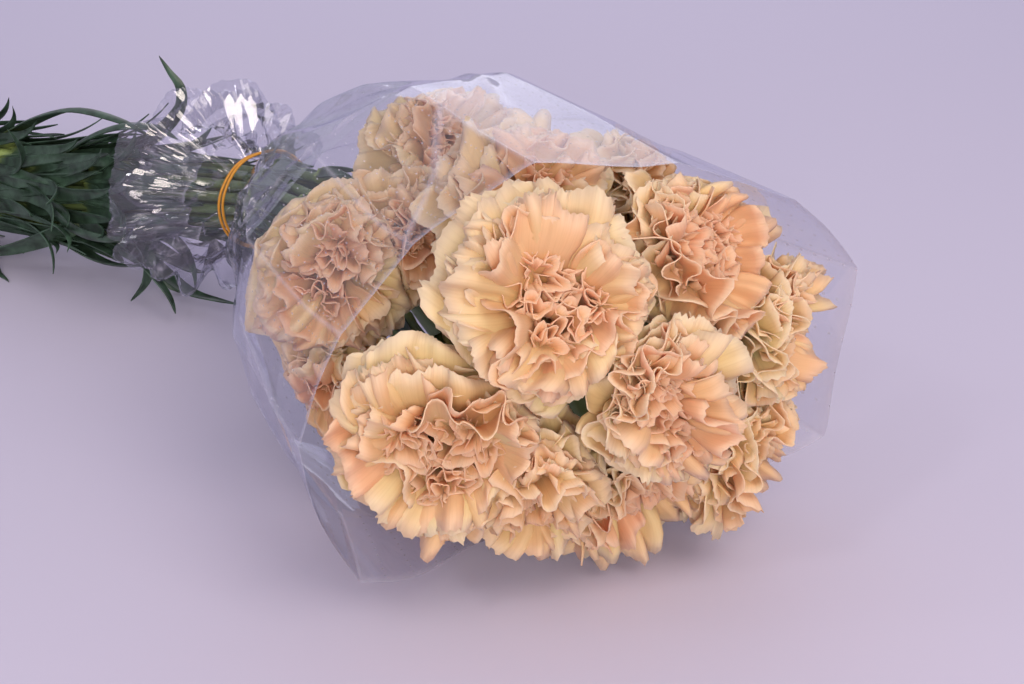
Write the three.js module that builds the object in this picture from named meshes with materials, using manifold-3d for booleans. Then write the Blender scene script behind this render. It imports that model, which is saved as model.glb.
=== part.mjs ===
// A bunch of twenty standard carnations lying on its side. Each flower is a leafy stem that ends in a
// calyx, with a double bloom seated in it. A clear film sleeve wraps the heads and the upper stems, and
// a rubber band gathers the sleeve and the stems at the waist.
// Millimetres. +Z is up and the table is z = 0. +X runs along the bunch, from the cut ends to the heads,
// and the origin is on the table, on the flat underside of the sleeve below the heads.
import * as THREE from "three";
import { mergeVertices } from "three/addons/utils/BufferGeometryUtils.js";
import Module from "manifold-3d";

const wasm = await Module();
wasm.setup();

// ---- Driving dimensions ----
const TAIL_X = -535; // the cut ends
const BAND_X = -207; // the rubber band
const MAX_STAGGER = 12; // how unevenly the stems are cut
const STAGGER_TURN = 2.4; // radians from one stem's stagger to the next, so no two are alike

const STEM_RADIUS = 2.7; // at the cut end
const NECK_RADIUS = 2.2; // below the calyx
const NODE_RADIUS = 3.7; // a swollen leaf node
const STEM_SIDES = 5;
const INNER_RING = 5.9; // how far the inner and outer stems lie from the axis in the band
const OUTER_RING = 12.3;
const TAIL_SPREAD = 2.05; // the rings are this much wider at the cut ends

const CALYX_LENGTH = 26;
const CALYX_RADIUS = 6.8;
const BLOOM_HEIGHT = 32; // from the calyx's mouth to the heart's top
const PETAL_THICKNESS = 0.8;
const LEAF_THICKNESS = 0.8;
const LEAF_WIDTH = 8;

const UPPER_STEPS = 32; // points of a stem's path between the band and the calyx
const BAND_PULL = 0.7; // how straight a stem leaves the band, as a share of its run
const CALYX_PULL = 0.35; // and how straight it meets the calyx
const UPPER_ROOM = 3.4; // the radius that a stem with its small leaves takes there
const CORE_ROOM = 10; // stems keep this far from the middle of another bloom
const SETTLE_PASSES = 120;
const SMOOTHING = 0.2; // how far a point moves towards its neighbours' middle in each pass
const PUSH = 0.3; // and away from what it is too near

const FILM_THICKNESS = 1.1; // radially: the pleated wall is thinner square to itself
const FILM_SIDES = 24; // one pleat takes two sides
const BAND_WIDTH = 2.4;
const BAND_THICKNESS = 1.3;
const CLEARANCE = 0.35; // between pieces that touch on the real bunch

// The bunch's axis, as [x, y, z]: the heads carry the band over the table, and behind it the stems turn
// to the near side and sag until they lie on the table.
const AXIS = [
  [-560, -134, 31],
  [-430, -88, 34],
  [-330, -48, 44],
  [BAND_X, 0, 66],
  [-100, 8, 80],
  [0, 0, 85],
  [100, 0, 85],
];

// ---- Where each flower sits ----
// heart is the middle of the bloom's face, and faces the way that it looks. ring and slot say where the
// stem lies in the band: 0 is the middle stem, 1 the ring of six, 2 the ring of thirteen. isOut marks the
// blooms that hang out of the sleeve over its rim.
const FLOWERS = [
  { ring: 0, slot: 0, size: 1, isOut: true, heart: [90, -4, 82], faces: [1, -0.05, -0.05] },
  { ring: 1, slot: 0, size: 1, isOut: true, heart: [72, 64, 86], faces: [0.8, 0.6, 0] },
  { ring: 1, slot: 1, size: 1.15, isOut: true, heart: [66, 32, 124], faces: [0.85, 0.2, 0.4] },
  { ring: 1, slot: 2, size: 1.2, isOut: true, heart: [66, -34, 120], faces: [0.85, -0.3, 0.42] },
  { ring: 1, slot: 3, size: 0.95, isOut: true, heart: [62, -38, 44], faces: [0.85, -0.33, -0.42] },
  { ring: 1, slot: 4, size: 0.95, isOut: true, heart: [66, 0, 34], faces: [0.85, -0.05, -0.5] },
  { ring: 1, slot: 5, size: 1, isOut: true, heart: [72, 50, 40], faces: [0.85, 0.35, -0.4] },
  { ring: 2, slot: 0, size: 0.85, heart: [-14, 70, 118], faces: [0.78, 0.5, 0.37] },
  { ring: 2, slot: 1, size: 1.1, heart: [2, 4, 134], faces: [0.72, 0.02, 0.68] },
  { ring: 2, slot: 2, size: 1, heart: [-68, 14, 129], faces: [0.8, 0, 0.6] },
  { ring: 2, slot: 3, size: 0.85, heart: [-36, -24, 110], faces: [0.9, -0.25, 0.34] },
  { ring: 2, slot: 4, size: 1.1, heart: [-42, -62, 100], faces: [0.72, -0.62, 0.12] },
  { ring: 2, slot: 5, size: 1.25, isOut: true, heart: [50, -73, 68], faces: [0.78, -0.58, -0.02] },
  { ring: 2, slot: 6, size: 0.9, heart: [-44, -62, 48], faces: [0.75, -0.55, -0.37] },
  { ring: 2, slot: 7, size: 0.85, heart: [-14, -30, 34], faces: [0.87, -0.22, -0.42] },
  { ring: 2, slot: 8, size: 0.85, heart: [18, 24, 28], faces: [0.87, 0.1, -0.47] },
  { ring: 2, slot: 9, size: 0.85, heart: [-48, 16, 32], faces: [0.9, 0.08, -0.4] },
  { ring: 2, slot: 10, size: 0.85, heart: [10, 70, 40], faces: [0.76, 0.45, -0.45] },
  { ring: 2, slot: 11, size: 0.85, heart: [-46, 60, 62], faces: [0.75, 0.62, -0.2] },
  { ring: 2, slot: 12, size: 0.85, heart: [6, 88, 82], faces: [0.7, 0.71, 0.02] },
];
const RINGS = [
  { count: 1, radius: 0, first: 0 },
  { count: 6, radius: INNER_RING, first: 10 },
  { count: 13, radius: OUTER_RING, first: 28 },
];

// ---- Leaves ----
// Where the leaf pairs grow, as the x of each swollen node on the lower stem.
const LEAF_NODES = [
  { x: -512, step: 7, length: 74 },
  { x: -434, step: 6, length: 74 },
  { x: -362, step: 6, length: 50 },
];
const INNER_NODE_X = -452; // the leaf node of the stems inside the bunch
const BEND_STATIONS = [-400, -340, -300, -252]; // where every stem follows the bunch's bend
const UPPER_NODE = 1.42; // the place of the small leaf pair on the stem's upper run
const LEAF_TURN = 6.5; // degrees round the bunch's axis between a leaf and its stem

// ---- Petals: four rings of one kind of fan, from the guard petals to the heart ----
// root, waist and rim are [distance from the bloom's axis, height over the calyx]. A small bloom has the
// second count of petals.
const PETAL_RINGS = [
  { counts: [5, 5], span: 66, root: [3, 4], waist: [20, 8], rim: [36, 11], ruffle: 3.2, points: 4 },
  { counts: [4, 4], span: 76, root: [3, 9], rim: [30, 23], ruffle: 2.6, points: 4 },
  { counts: [3, 3], span: 92, root: [2.5, 14], rim: [20, 31], ruffle: 2.4, points: 3 },
  { counts: [3, 2], span: 90, root: [1.5, 19], rim: [9, 36], ruffle: 2, points: 3 },
];
const SMALL_BLOOM = 0.92; // blooms under this size have fewer petals
const BLOOM_TURN = 137.5; // each bloom is turned this much from the one before
const NEAR_SLEEVE = 80; // the film farther off than this doesn't meet the petals
const FAR_SIDE_Y = 30; // the film beyond this stands behind the blooms that hang out
const OUT_FROM_X = 17; // blooms that hang out of the sleeve stay in front of this, clear of its rim
const HEART_DEPTH = 14; // the bloom's middle lies this far under the heart
const BLOOM_REACH = 58; // what lies farther from the middle doesn't meet the petals
const LEAST_ROOM = 5;
const SOFT_FROM = 0.78; // the share of a bloom's room in which its petals lie free

// ---- The sleeve's sections: x, how far the film stands from the axis on the far side, above, on the
// near side and below, the depth of its pleats, and how far it is tucked in over the near blooms ----
const SLEEVE = [
  { x: -248, far: 42, up: 44, near: 44, down: 38, pleat: 3.4, tuck: 0 },
  { x: -234, far: 40, up: 40, near: 42, down: 38, pleat: 3.6, tuck: 0 },
  { x: -218, far: 22, up: 22, near: 22, down: 22, pleat: 2.8, tuck: 0 },
  { x: BAND_X, far: 19, up: 19, near: 19, down: 19, pleat: 2.6, tuck: 0 },
  { x: -193, far: 22, up: 22.5, near: 22.5, down: 22, pleat: 2.4, tuck: 0 },
  { x: -130, far: 58, up: 58, near: 66, down: 50, pleat: 1.2, tuck: 0 },
  { x: -66, far: 88, up: 77, near: 98, down: 90, pleat: 0, tuck: 4 },
  { x: -8, far: 102, up: 76, near: 106, down: 100, pleat: 0, tuck: 12 },
];
const BAND_ROW = 3;
const TUCK_ANGLE = 145; // degrees, where the tuck is deepest
const TUCK_SPREAD = 60; // degrees to where it ends
// The sleeve's mouth, from the far side (+Y) round over the top: how far along X the film reaches, and
// how far it stands out there. It is pushed back unevenly, so the near blooms hang out of it.
const MOUTH = [
  [62, 6], [60, 2], [56, -4], [44, -2], [22, 0], [10, 0], [6, 0],
  [6, 2], [14, 14], [22, 14], [8, 0], [24, 0], [44, 4], [60, 12],
];

// ---- Small helpers ----
const vec = (x, y, z) => new THREE.Vector3(x, y, z);
const radians = THREE.MathUtils.degToRad;

// The same numbers on every run.
function randomSource(seed) {
  let state = seed;
  return () => {
    state = (state * 16807) % 2147483647;
    return state / 2147483647;
  };
}

// A cubic that leaves a along da and reaches b along db.
function hermite(a, da, b, db, t) {
  const t2 = t * t;
  const t3 = t2 * t;
  return a.clone().multiplyScalar(2 * t3 - 3 * t2 + 1)
    .addScaledVector(da, t3 - 2 * t2 + t)
    .addScaledVector(b, 3 * t2 - 2 * t3)
    .addScaledVector(db, t3 - t2);
}

// The bunch's axis at x, on a smooth line through its points.
const axisPoints = AXIS.map((point) => vec(...point));
const lastSpan = axisPoints.length - 2;
const axisSlope = (k) => {
  const before = axisPoints[Math.max(k - 1, 0)];
  const after = axisPoints[Math.min(k + 1, lastSpan + 1)];
  return after.clone().sub(before).divideScalar(after.x - before.x);
};
function axisAt(x) {
  const passed = axisPoints.filter((point) => point.x <= x).length;
  const k = THREE.MathUtils.clamp(passed - 1, 0, lastSpan);
  const [a, b] = [axisPoints[k], axisPoints[k + 1]];
  const span = b.x - a.x;
  const [da, db] = [axisSlope(k), axisSlope(k + 1)].map((slope) => slope.multiplyScalar(span));
  return hermite(a, da, b, db, (x - a.x) / span);
}

// A point at a distance and an angle from the bunch's axis. Angle 0 is +Y and 90 degrees is up.
const roundAxis = (x, distance, angle) =>
  axisAt(x).add(vec(0, distance * Math.cos(angle), distance * Math.sin(angle)));

function solidFrom(geometry) {
  const bare = geometry.clone();
  bare.deleteAttribute("normal");
  bare.deleteAttribute("uv");
  const merged = mergeVertices(bare, 1e-4);
  return new wasm.Manifold(
    new wasm.Mesh({
      numProp: 3,
      vertProperties: merged.attributes.position.array,
      triVerts: new Uint32Array(merged.index.array),
    }),
  );
}

function geometryFrom(solid) {
  const mesh = solid.getMesh();
  return new THREE.BufferGeometry()
    .setAttribute("position", new THREE.BufferAttribute(mesh.vertProperties, 3))
    .setIndex(new THREE.BufferAttribute(mesh.triVerts, 1));
}

// One body: the largest, if a join leaves a loose scrap.
const largest = (solid) =>
  solid.decompose().sort((a, b) => b.volume() - a.volume())[0];

function meshGeometry(points, faces) {
  const geometry = new THREE.BufferGeometry();
  geometry.setAttribute(
    "position",
    new THREE.Float32BufferAttribute(points.flatMap((p) => p.toArray()), 3),
  );
  geometry.setIndex(faces.flat());
  return geometry;
}

// ---- A thin blade: rows of points from root to tip, given a thickness ----
function blade(rows, thickness) {
  const starts = [];
  const middle = [];
  for (const row of rows) {
    starts.push(middle.length);
    middle.push(...row);
  }
  const faces = [];
  for (let r = 0; r + 1 < rows.length; r++) {
    const [low, high] = [rows[r].length - 1, rows[r + 1].length - 1];
    let [i, j] = [0, 0];
    while (i < low || j < high) {
      const [a, b] = [starts[r] + i, starts[r + 1] + j];
      const upperNext = i === low || (j < high && (j + 1) / high <= (i + 1) / low);
      faces.push(upperNext ? [a, b + 1, b] : [a, a + 1, b]);
      if (upperNext) j++;
      else i++;
    }
  }
  const normals = middle.map(() => vec(0, 0, 0));
  for (const [a, b, c] of faces) {
    const normal = middle[b].clone().sub(middle[a]).cross(middle[c].clone().sub(middle[a]));
    for (const k of [a, b, c]) normals[k].add(normal);
  }
  const count = middle.length;
  const points = [thickness / 2, -thickness / 2].flatMap((offset) =>
    middle.map((p, k) => p.clone().addScaledVector(normals[k].normalize(), offset)),
  );
  const edges = new Map();
  for (const [a, b, c] of faces)
    for (const [from, to] of [[a, b], [b, c], [c, a]])
      if (!edges.delete(`${to},${from}`)) edges.set(`${from},${to}`, [from, to]);
  const walls = [...edges.values()].flatMap(([from, to]) => [
    [from, from + count, to],
    [to, from + count, to + count],
  ]);
  const under = faces.map(([a, b, c]) => [a + count, c + count, b + count]);
  return solidFrom(meshGeometry(points, [...faces, ...under, ...walls]));
}

// ---- A round body lofted along a line of stations: {at, along, radius} ----
function loft(stations, sides) {
  let across = vec(0, 0, 1);
  const points = [];
  for (const { at, along, radius } of stations) {
    across = across.clone().addScaledVector(along, -across.dot(along)).normalize();
    const other = along.clone().cross(across);
    for (let k = 0; k < sides; k++) {
      const angle = (2 * Math.PI * k) / sides;
      points.push(
        at.clone()
          .addScaledVector(across, radius * Math.cos(angle))
          .addScaledVector(other, radius * Math.sin(angle)),
      );
    }
  }
  const faces = [];
  for (let r = 0; r + 1 < stations.length; r++)
    for (let k = 0; k < sides; k++) {
      const [a, b] = [r * sides + k, r * sides + ((k + 1) % sides)];
      faces.push([a, b, a + sides], [b, b + sides, a + sides]);
    }
  const last = (stations.length - 1) * sides;
  for (let k = 1; k + 1 < sides; k++) {
    faces.push([0, k + 1, k]);
    faces.push([last, last + k, last + k + 1]);
  }
  return solidFrom(meshGeometry(points, faces));
}

// ---- Lay out the flowers: each one's stem line, calyx and bloom frame ----
function layOut(flower, index) {
  const ring = RINGS[flower.ring];
  const angle = radians(ring.first + (360 * flower.slot) / ring.count);
  const faces = vec(...flower.faces).normalize();
  const heart = vec(...flower.heart);
  const mouth = heart.clone().addScaledVector(faces, -BLOOM_HEIGHT);
  const base = mouth.clone().addScaledVector(faces, -CALYX_LENGTH);
  const stagger = MAX_STAGGER * Math.sin(STAGGER_TURN * index);
  const tailX = TAIL_X + stagger;
  const lower = (t) => {
    const distance = ring.radius * THREE.MathUtils.lerp(TAIL_SPREAD, 1, t);
    return roundAxis(THREE.MathUtils.lerp(tailX, BAND_X, t), distance, angle);
  };
  const band = lower(1);
  const axis = axisAt(BAND_X + 5).sub(axisAt(BAND_X - 5)).normalize();
  const run = base.distanceTo(band);
  const path = Array.from({ length: UPPER_STEPS + 1 }, (_, k) =>
    hermite(
      band,
      axis.clone().multiplyScalar(run * BAND_PULL),
      base,
      faces.clone().multiplyScalar(run * CALYX_PULL),
      k / UPPER_STEPS,
    ),
  );
  const calyx = [0.2, 0.4, 0.6, 0.8, 1].map((share) =>
    base.clone().addScaledVector(faces, CALYX_LENGTH * share),
  );
  const core = [6, 14, 22].map((height) => mouth.clone().addScaledVector(faces, height));
  return { ...flower, index, angle, faces, heart, mouth, base, lower, path, calyx, core };
}

// Stems that would touch above the band are smoothed and pushed apart a little at a time. In each pass all
// points move at once, so their order makes no difference.
function settle(bunched) {
  const beads = bunched.flatMap(({ path, calyx, core }, stem) => [
    ...path.map((at, k) => ({ stem, at, radius: UPPER_ROOM, free: k > 1 && k < UPPER_STEPS - 1 })),
    ...calyx.map((at) => ({ stem, at, radius: CALYX_RADIUS, free: false })),
    ...core.map((at) => ({ stem, at, radius: CORE_ROOM, free: false })),
  ]);
  for (let pass = 0; pass < SETTLE_PASSES; pass++) {
    for (const { path } of bunched) {
      const before = path.map((at) => at.clone());
      for (let k = 2; k < UPPER_STEPS - 1; k++)
        path[k].lerp(before[k - 1].clone().add(before[k + 1]).multiplyScalar(0.5), SMOOTHING);
    }
    const moves = beads.map(() => vec(0, 0, 0));
    for (let i = 0; i < beads.length; i++)
      for (let j = i + 1; j < beads.length; j++) {
        const [a, b] = [beads[i], beads[j]];
        if (a.stem === b.stem || !(a.free || b.free)) continue;
        const gap = b.at.clone().sub(a.at);
        const distance = gap.length();
        const lacking = a.radius + b.radius + 2 * CLEARANCE - distance;
        if (lacking <= 0) continue;
        gap.multiplyScalar((lacking * PUSH) / distance);
        moves[i].sub(gap);
        moves[j].add(gap);
      }
    beads.forEach(({ at, free }, k) => free && at.add(moves[k]));
  }
}

// 0 to 1 is from the cut end to the band, and 1 to 2 from the band to the calyx.
function withLine(flower) {
  const upper = new THREE.CatmullRomCurve3(flower.path);
  const line = (t) =>
    t <= 1 ? flower.lower(t) : upper.getPoint(Math.min(t - 1, 1));
  const along = (t) => line(Math.min(t + 0.01, 2)).sub(line(Math.min(t, 1.99) - 0.01)).normalize();
  return { ...flower, line, along };
}
const laidOut = FLOWERS.map(layOut);
settle(laidOut);
const flowers = laidOut.map(withLine);

// ---- Making the leaves ----
const nodeX = (node, flower) => node.x + node.step * (flower.slot % 3);

const lineAtX = (flower, x) => {
  let [low, high] = [0, 1];
  for (let k = 0; k < 30; k++) {
    const t = (low + high) / 2;
    if (flower.line(t).x < x) low = t;
    else high = t;
  }
  return low;
};

// Anything that would pass through the table is drawn in towards the bunch's axis.
function overTable(point, lowest) {
  if (point.z >= lowest) return point;
  const axis = axisAt(point.x);
  return axis.clone().lerp(point, (axis.z - lowest) / (axis.z - point.z));
}

// A leaf on the outside of the bunch: it runs forward along its stem and lifts away from the axis, and
// keeps to its own side of its stem.
function outerLeaf(flower, x, side, length, lift) {
  const out = flower.line(lineAtX(flower, x)).sub(axisAt(x));
  const startDistance = out.length();
  const startAngle = Math.atan2(out.z, out.y);
  const rows = [[0, 0], [0.38, 1], [1, 0]].map(([t, width]) => {
    const distance = startDistance + 7 * Math.sqrt(t) + lift * t * t;
    const angle = startAngle + side * radians(LEAF_TURN) * Math.min(1, t * 2.2);
    const at = roundAxis(x + length * t, distance, angle);
    const across = vec(0, -Math.sin(angle), Math.cos(angle)).multiplyScalar((LEAF_WIDTH * width) / 2);
    const row = width ? [at.clone().sub(across), at.clone().add(across)] : [at];
    return row.map((point) => overTable(point, LEAF_THICKNESS / 2));
  });
  return blade(rows, LEAF_THICKNESS);
}

// A short leaf that hugs the stem it grows from, on the side away from the bunch's axis.
function huggingLeaf(flower, t, side, length, width) {
  const start = flower.line(t);
  const outward = start.clone().sub(axisAt(start.x)).setX(0).normalize();
  const step = length / (BAND_X - TAIL_X);
  const rows = [[0, 0, 0], [0.45, 4.4, 1], [1, 5.2, 0]].map(([share, off, wide]) => {
    const at = flower.line(t + step * share);
    const along = flower.along(t + step * share);
    const beside = along.clone().cross(outward).normalize();
    const lean = outward.clone().addScaledVector(beside, side * 0.9).normalize();
    const across = lean.clone().cross(along).normalize().multiplyScalar((width * wide) / 2);
    at.addScaledVector(lean, off);
    return wide ? [at.clone().sub(across), at.clone().add(across)] : [at];
  });
  return blade(rows, LEAF_THICKNESS);
}

function leavesOf(flower) {
  const random = randomSource(71 + 13 * flower.index);
  const leaves = [];
  if (flower.ring === 2)
    for (const node of LEAF_NODES)
      for (const side of [-1, 1]) {
        leaves.push(outerLeaf(flower, nodeX(node, flower), side, node.length, 6 + 26 * random()));
      }
  if (flower.ring === 1)
    for (const side of [-1, 1])
      leaves.push(huggingLeaf(flower, lineAtX(flower, INNER_NODE_X), side, 60, 4));
  return leaves;
}

// ---- A leafy stem with its calyx ----
function stemStations(flower) {
  const nodes = flower.ring === 2 ? LEAF_NODES.map((node) => nodeX(node, flower)) : [INNER_NODE_X];
  const plain = BEND_STATIONS.filter((x) => nodes.every((node) => Math.abs(node - x) > 12));
  const places = [...nodes.map((x) => [x, NODE_RADIUS]), ...plain.map((x) => [x, STEM_RADIUS])];
  const stations = [];
  const add = (t, radius) => stations.push({ at: flower.line(t), along: flower.along(t), radius });
  add(0, STEM_RADIUS);
  for (const [x, radius] of places.sort((a, b) => a[0] - b[0])) add(lineAtX(flower, x), radius);
  add(1, NECK_RADIUS + 0.5);
  add(1.2, NECK_RADIUS + 0.3);
  add(UPPER_NODE, NODE_RADIUS - 0.7);
  for (const t of [1.64, 1.84]) add(t, NECK_RADIUS);
  for (const [share, radius] of [[0, 2.6], [0.12, 5.2], [0.55, 6.3], [1, CALYX_RADIUS]])
    stations.push({
      at: flower.base.clone().addScaledVector(flower.faces, CALYX_LENGTH * share),
      along: flower.faces,
      radius,
    });
  return stations;
}

function stemSolid(flower) {
  const stem = loft(stemStations(flower), STEM_SIDES);
  return largest(wasm.Manifold.union([stem, ...leavesOf(flower)]));
}

// ---- The sleeve ----
function mouthAt(angle) {
  const turn = THREE.MathUtils.euclideanModulo(angle / (2 * Math.PI), 1);
  const place = turn * MOUTH.length;
  const [a, b] = [MOUTH[Math.floor(place)], MOUTH[(Math.floor(place) + 1) % MOUTH.length]];
  const [reach, stand] = a.map((value, k) => THREE.MathUtils.lerp(value, b[k], place % 1));
  return { reach, stand };
}

// The film's wall at section row and side k, inset from its outer face. The last row is the mouth.
function sleevePoint(row, k, inset) {
  const isMouth = row === SLEEVE.length;
  const section = SLEEVE[isMouth ? row - 1 : row];
  const angle = (2 * Math.PI * k) / FILM_SIDES;
  const { reach, stand } = mouthAt(angle);
  const fold = section.pleat * (k % 2 ? 1 : -1);
  const degrees = THREE.MathUtils.radToDeg(THREE.MathUtils.euclideanModulo(angle, 2 * Math.PI));
  const fromTuck = Math.min(Math.abs(degrees - TUCK_ANGLE) / TUCK_SPREAD, 1);
  const tuck = section.tuck * 0.5 * (1 + Math.cos(Math.PI * fromTuck));
  const grow = fold - inset - tuck + (isMouth ? stand : 0);
  const wide = Math.cos(angle) > 0 ? section.far : section.near;
  const tall = Math.sin(angle) > 0 ? section.up : section.down;
  const middle = axisAt(section.x);
  const x = isMouth ? reach : section.x;
  const y = middle.y + (wide + grow) * Math.cos(angle);
  const z = middle.z + (tall + grow) * Math.sin(angle);
  return vec(x, y, Math.max(z, inset));
}

function sleeveSolid() {
  const rows = SLEEVE.length + 1;
  const points = [];
  for (const inset of [0, FILM_THICKNESS])
    for (let row = 0; row < rows; row++)
      for (let k = 0; k < FILM_SIDES; k++) points.push(sleevePoint(row, k, inset));
  const inner = rows * FILM_SIDES;
  const faces = [];
  const quad = (a, b, c, d) => faces.push([a, b, c], [a, c, d]);
  for (let k = 0; k < FILM_SIDES; k++) {
    const next = (k + 1) % FILM_SIDES;
    for (let row = 0; row + 1 < rows; row++) {
      const [a, b] = [row * FILM_SIDES + k, row * FILM_SIDES + next];
      const [c, d] = [a + FILM_SIDES, b + FILM_SIDES];
      quad(a, b, d, c);
      quad(inner + a, inner + c, inner + d, inner + b);
    }
    const end = (rows - 1) * FILM_SIDES;
    quad(k, inner + k, inner + next, next);
    quad(end + k, end + next, inner + end + next, inner + end + k);
  }
  return solidFrom(meshGeometry(points, faces));
}

// ---- The room that a bloom has: planes that its petals stay behind ----
const sleeveFaces = [];
for (let row = 4; row < SLEEVE.length; row++)
  for (let k = 0; k < FILM_SIDES; k++) {
    const corners = [[row, k], [row, k + 1], [row + 1, k + 1], [row + 1, k]];
    const [a, b, c, d] = corners.map(([r, side]) => sleevePoint(r, side, FILM_THICKNESS));
    for (const [p, q, r] of [[a, b, c], [a, c, d]]) {
      const normal = q.clone().sub(p).cross(r.clone().sub(p)).normalize();
      sleeveFaces.push({ at: p.clone().add(q).add(r).divideScalar(3), normal });
    }
  }

function roomOf(flower) {
  const middle = flower.heart.clone().addScaledVector(flower.faces, -HEART_DEPTH);
  const planes = [];
  const wall = (toward, keepOff) => {
    const gap = toward.clone().sub(middle);
    const distance = gap.length();
    if (distance < BLOOM_REACH)
      planes.push({ normal: gap.normalize(), reach: distance - keepOff });
  };
  const half = PETAL_THICKNESS / 2;
  for (const other of flowers) {
    if (other === flower) continue;
    const otherMiddle = other.heart.clone().addScaledVector(other.faces, -HEART_DEPTH);
    const share = flower.size / (flower.size + other.size);
    wall(middle.clone().lerp(otherMiddle, share), half + CLEARANCE / 2);
    for (let t = 1; t <= 2; t += 0.02) wall(other.line(t), UPPER_ROOM + half);
    for (const at of other.calyx) wall(at, CALYX_RADIUS + half + CLEARANCE);
  }
  planes.push({ normal: vec(0, 0, -1), reach: middle.z - half });
  if (flower.isOut) planes.push({ normal: vec(-1, 0, 0), reach: middle.x - OUT_FROM_X });
  for (const { at, normal } of sleeveFaces)
    if (at.distanceTo(middle) < NEAR_SLEEVE && !(flower.isOut && at.y < FAR_SIDE_Y))
      planes.push({ normal, reach: at.clone().sub(middle).dot(normal) - half - CLEARANCE });
  return { middle, planes };
}

// A petal is drawn in along the ray from the bloom's middle, the more the nearer it comes to the edge of
// the bloom's room, so that petals that lay one over the other still do.
function squeeze(point, { middle, planes }) {
  const step = point.clone().sub(middle);
  const distance = step.length();
  const ray = step.normalize();
  const reach = Math.min(...planes.map(({ normal, reach: to }) => {
    const out = ray.dot(normal);
    return out > 0.01 ? Math.max(to, LEAST_ROOM) / out : Infinity;
  }));
  const free = SOFT_FROM * reach;
  if (distance <= free) return point;
  const soft = reach - free;
  return middle.clone().addScaledVector(ray, free + soft * (1 - Math.exp((free - distance) / soft)));
}

function bloomSolid(flower) {
  const room = roomOf(flower);
  const up = vec(0, 0, 1).addScaledVector(flower.faces, -flower.faces.z).normalize();
  const side = flower.faces.clone().cross(up);
  const place = (distance, angle, height) =>
    flower.mouth.clone()
      .addScaledVector(up, distance * flower.size * Math.cos(angle))
      .addScaledVector(side, distance * flower.size * Math.sin(angle))
      .addScaledVector(flower.faces, height);
  const solids = [];
  PETAL_RINGS.forEach((ring, ringIndex) => {
    const count = ring.counts[flower.size < SMALL_BLOOM ? 1 : 0];
    for (let petal = 0; petal < count; petal++) {
      const middle = radians(BLOOM_TURN * flower.index + 33 * ringIndex + (360 * petal) / count);
      const fan = ([distance, height], points, span, ruffle) =>
        Array.from({ length: points }, (_, k) => {
          const across = points > 1 ? (2 * k) / (points - 1) - 1 : 0;
          const wave = (k % 2 ? 1 : -1) * ruffle;
          const angle = middle - (radians(span) / 2) * across;
          const bow = distance * (1 - 0.1 * across * across) - 0.35 * wave;
          return squeeze(place(bow, angle, height + wave), room);
        });
      const root = [place(ring.root[0], middle, ring.root[1])];
      const rows = [root];
      if (ring.waist) rows.push(fan(ring.waist, 2, ring.span * 0.72, 0));
      rows.push(fan(ring.rim, ring.points, ring.span, ring.ruffle));
      solids.push(blade(rows, PETAL_THICKNESS));
    }
  });
  const core = [[CLEARANCE, 5.2], [24, 3.2]].map(([height, radius]) => ({
    at: flower.mouth.clone().addScaledVector(flower.faces, height),
    along: flower.faces,
    radius,
  }));
  solids.push(loft(core, STEM_SIDES));
  return largest(wasm.Manifold.union(solids));
}

// ---- The rubber band ----
function bandGeometry() {
  const inner = SLEEVE[BAND_ROW].far + SLEEVE[BAND_ROW].pleat + 2 * CLEARANCE;
  const outer = inner + BAND_THICKNESS;
  const half = BAND_WIDTH / 2;
  const profile = [
    new THREE.Vector2(inner, -half),
    new THREE.Vector2(outer, -half),
    new THREE.Vector2(outer, half),
    new THREE.Vector2(inner, half),
    new THREE.Vector2(inner, -half),
  ];
  const ring = new THREE.LatheGeometry(profile, FILM_SIDES);
  ring.rotateZ(-Math.PI / 2);
  return ring;
}

// ---- Materials ----
const petalMaterial = new THREE.MeshStandardMaterial({ color: "#f1c99a", roughness: 0.75 });
const stemMaterial = new THREE.MeshStandardMaterial({ color: "#54734d", roughness: 0.6 });
const filmMaterial = new THREE.MeshStandardMaterial({
  color: "#e4e6ee",
  roughness: 0.08,
  transparent: true,
  opacity: 0.25,
});
const rubberMaterial = new THREE.MeshStandardMaterial({ color: "#cf8a2c", roughness: 0.55 });

// ---- The bunch ----
const bunch = new THREE.Group();
const addMesh = (name, geometry, material) => {
  const mesh = new THREE.Mesh(geometry, material);
  mesh.name = name;
  bunch.add(mesh);
  return mesh;
};
const twoDigits = (index) => String(index + 1).padStart(2, "0");
for (const flower of flowers) {
  addMesh(`stem_${twoDigits(flower.index)}`, geometryFrom(stemSolid(flower)), stemMaterial);
  addMesh(`bloom_${twoDigits(flower.index)}`, geometryFrom(bloomSolid(flower)), petalMaterial);
}
addMesh("sleeve", geometryFrom(sleeveSolid()), filmMaterial);
const band = addMesh("band", bandGeometry(), rubberMaterial);
band.position.copy(axisAt(BAND_X));

export default bunch;
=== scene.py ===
# %% [markdown]
# # A bunch of carnations in a clear sleeve
#
# Twenty standard carnations lie on their side on a table. The leafy stems are gathered by a rubber
# band, a clear film sleeve wraps the upper stems, and the blooms hang out of its mouth. The solids of
# the frame give every piece its place and size. This script replaces them with fine petals, leaves and
# film, one piece for each solid.

# %% Load the frame
import math
from functools import partial

import bmesh
import bpy
import numpy as np
from mathutils import Matrix, Vector


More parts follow.
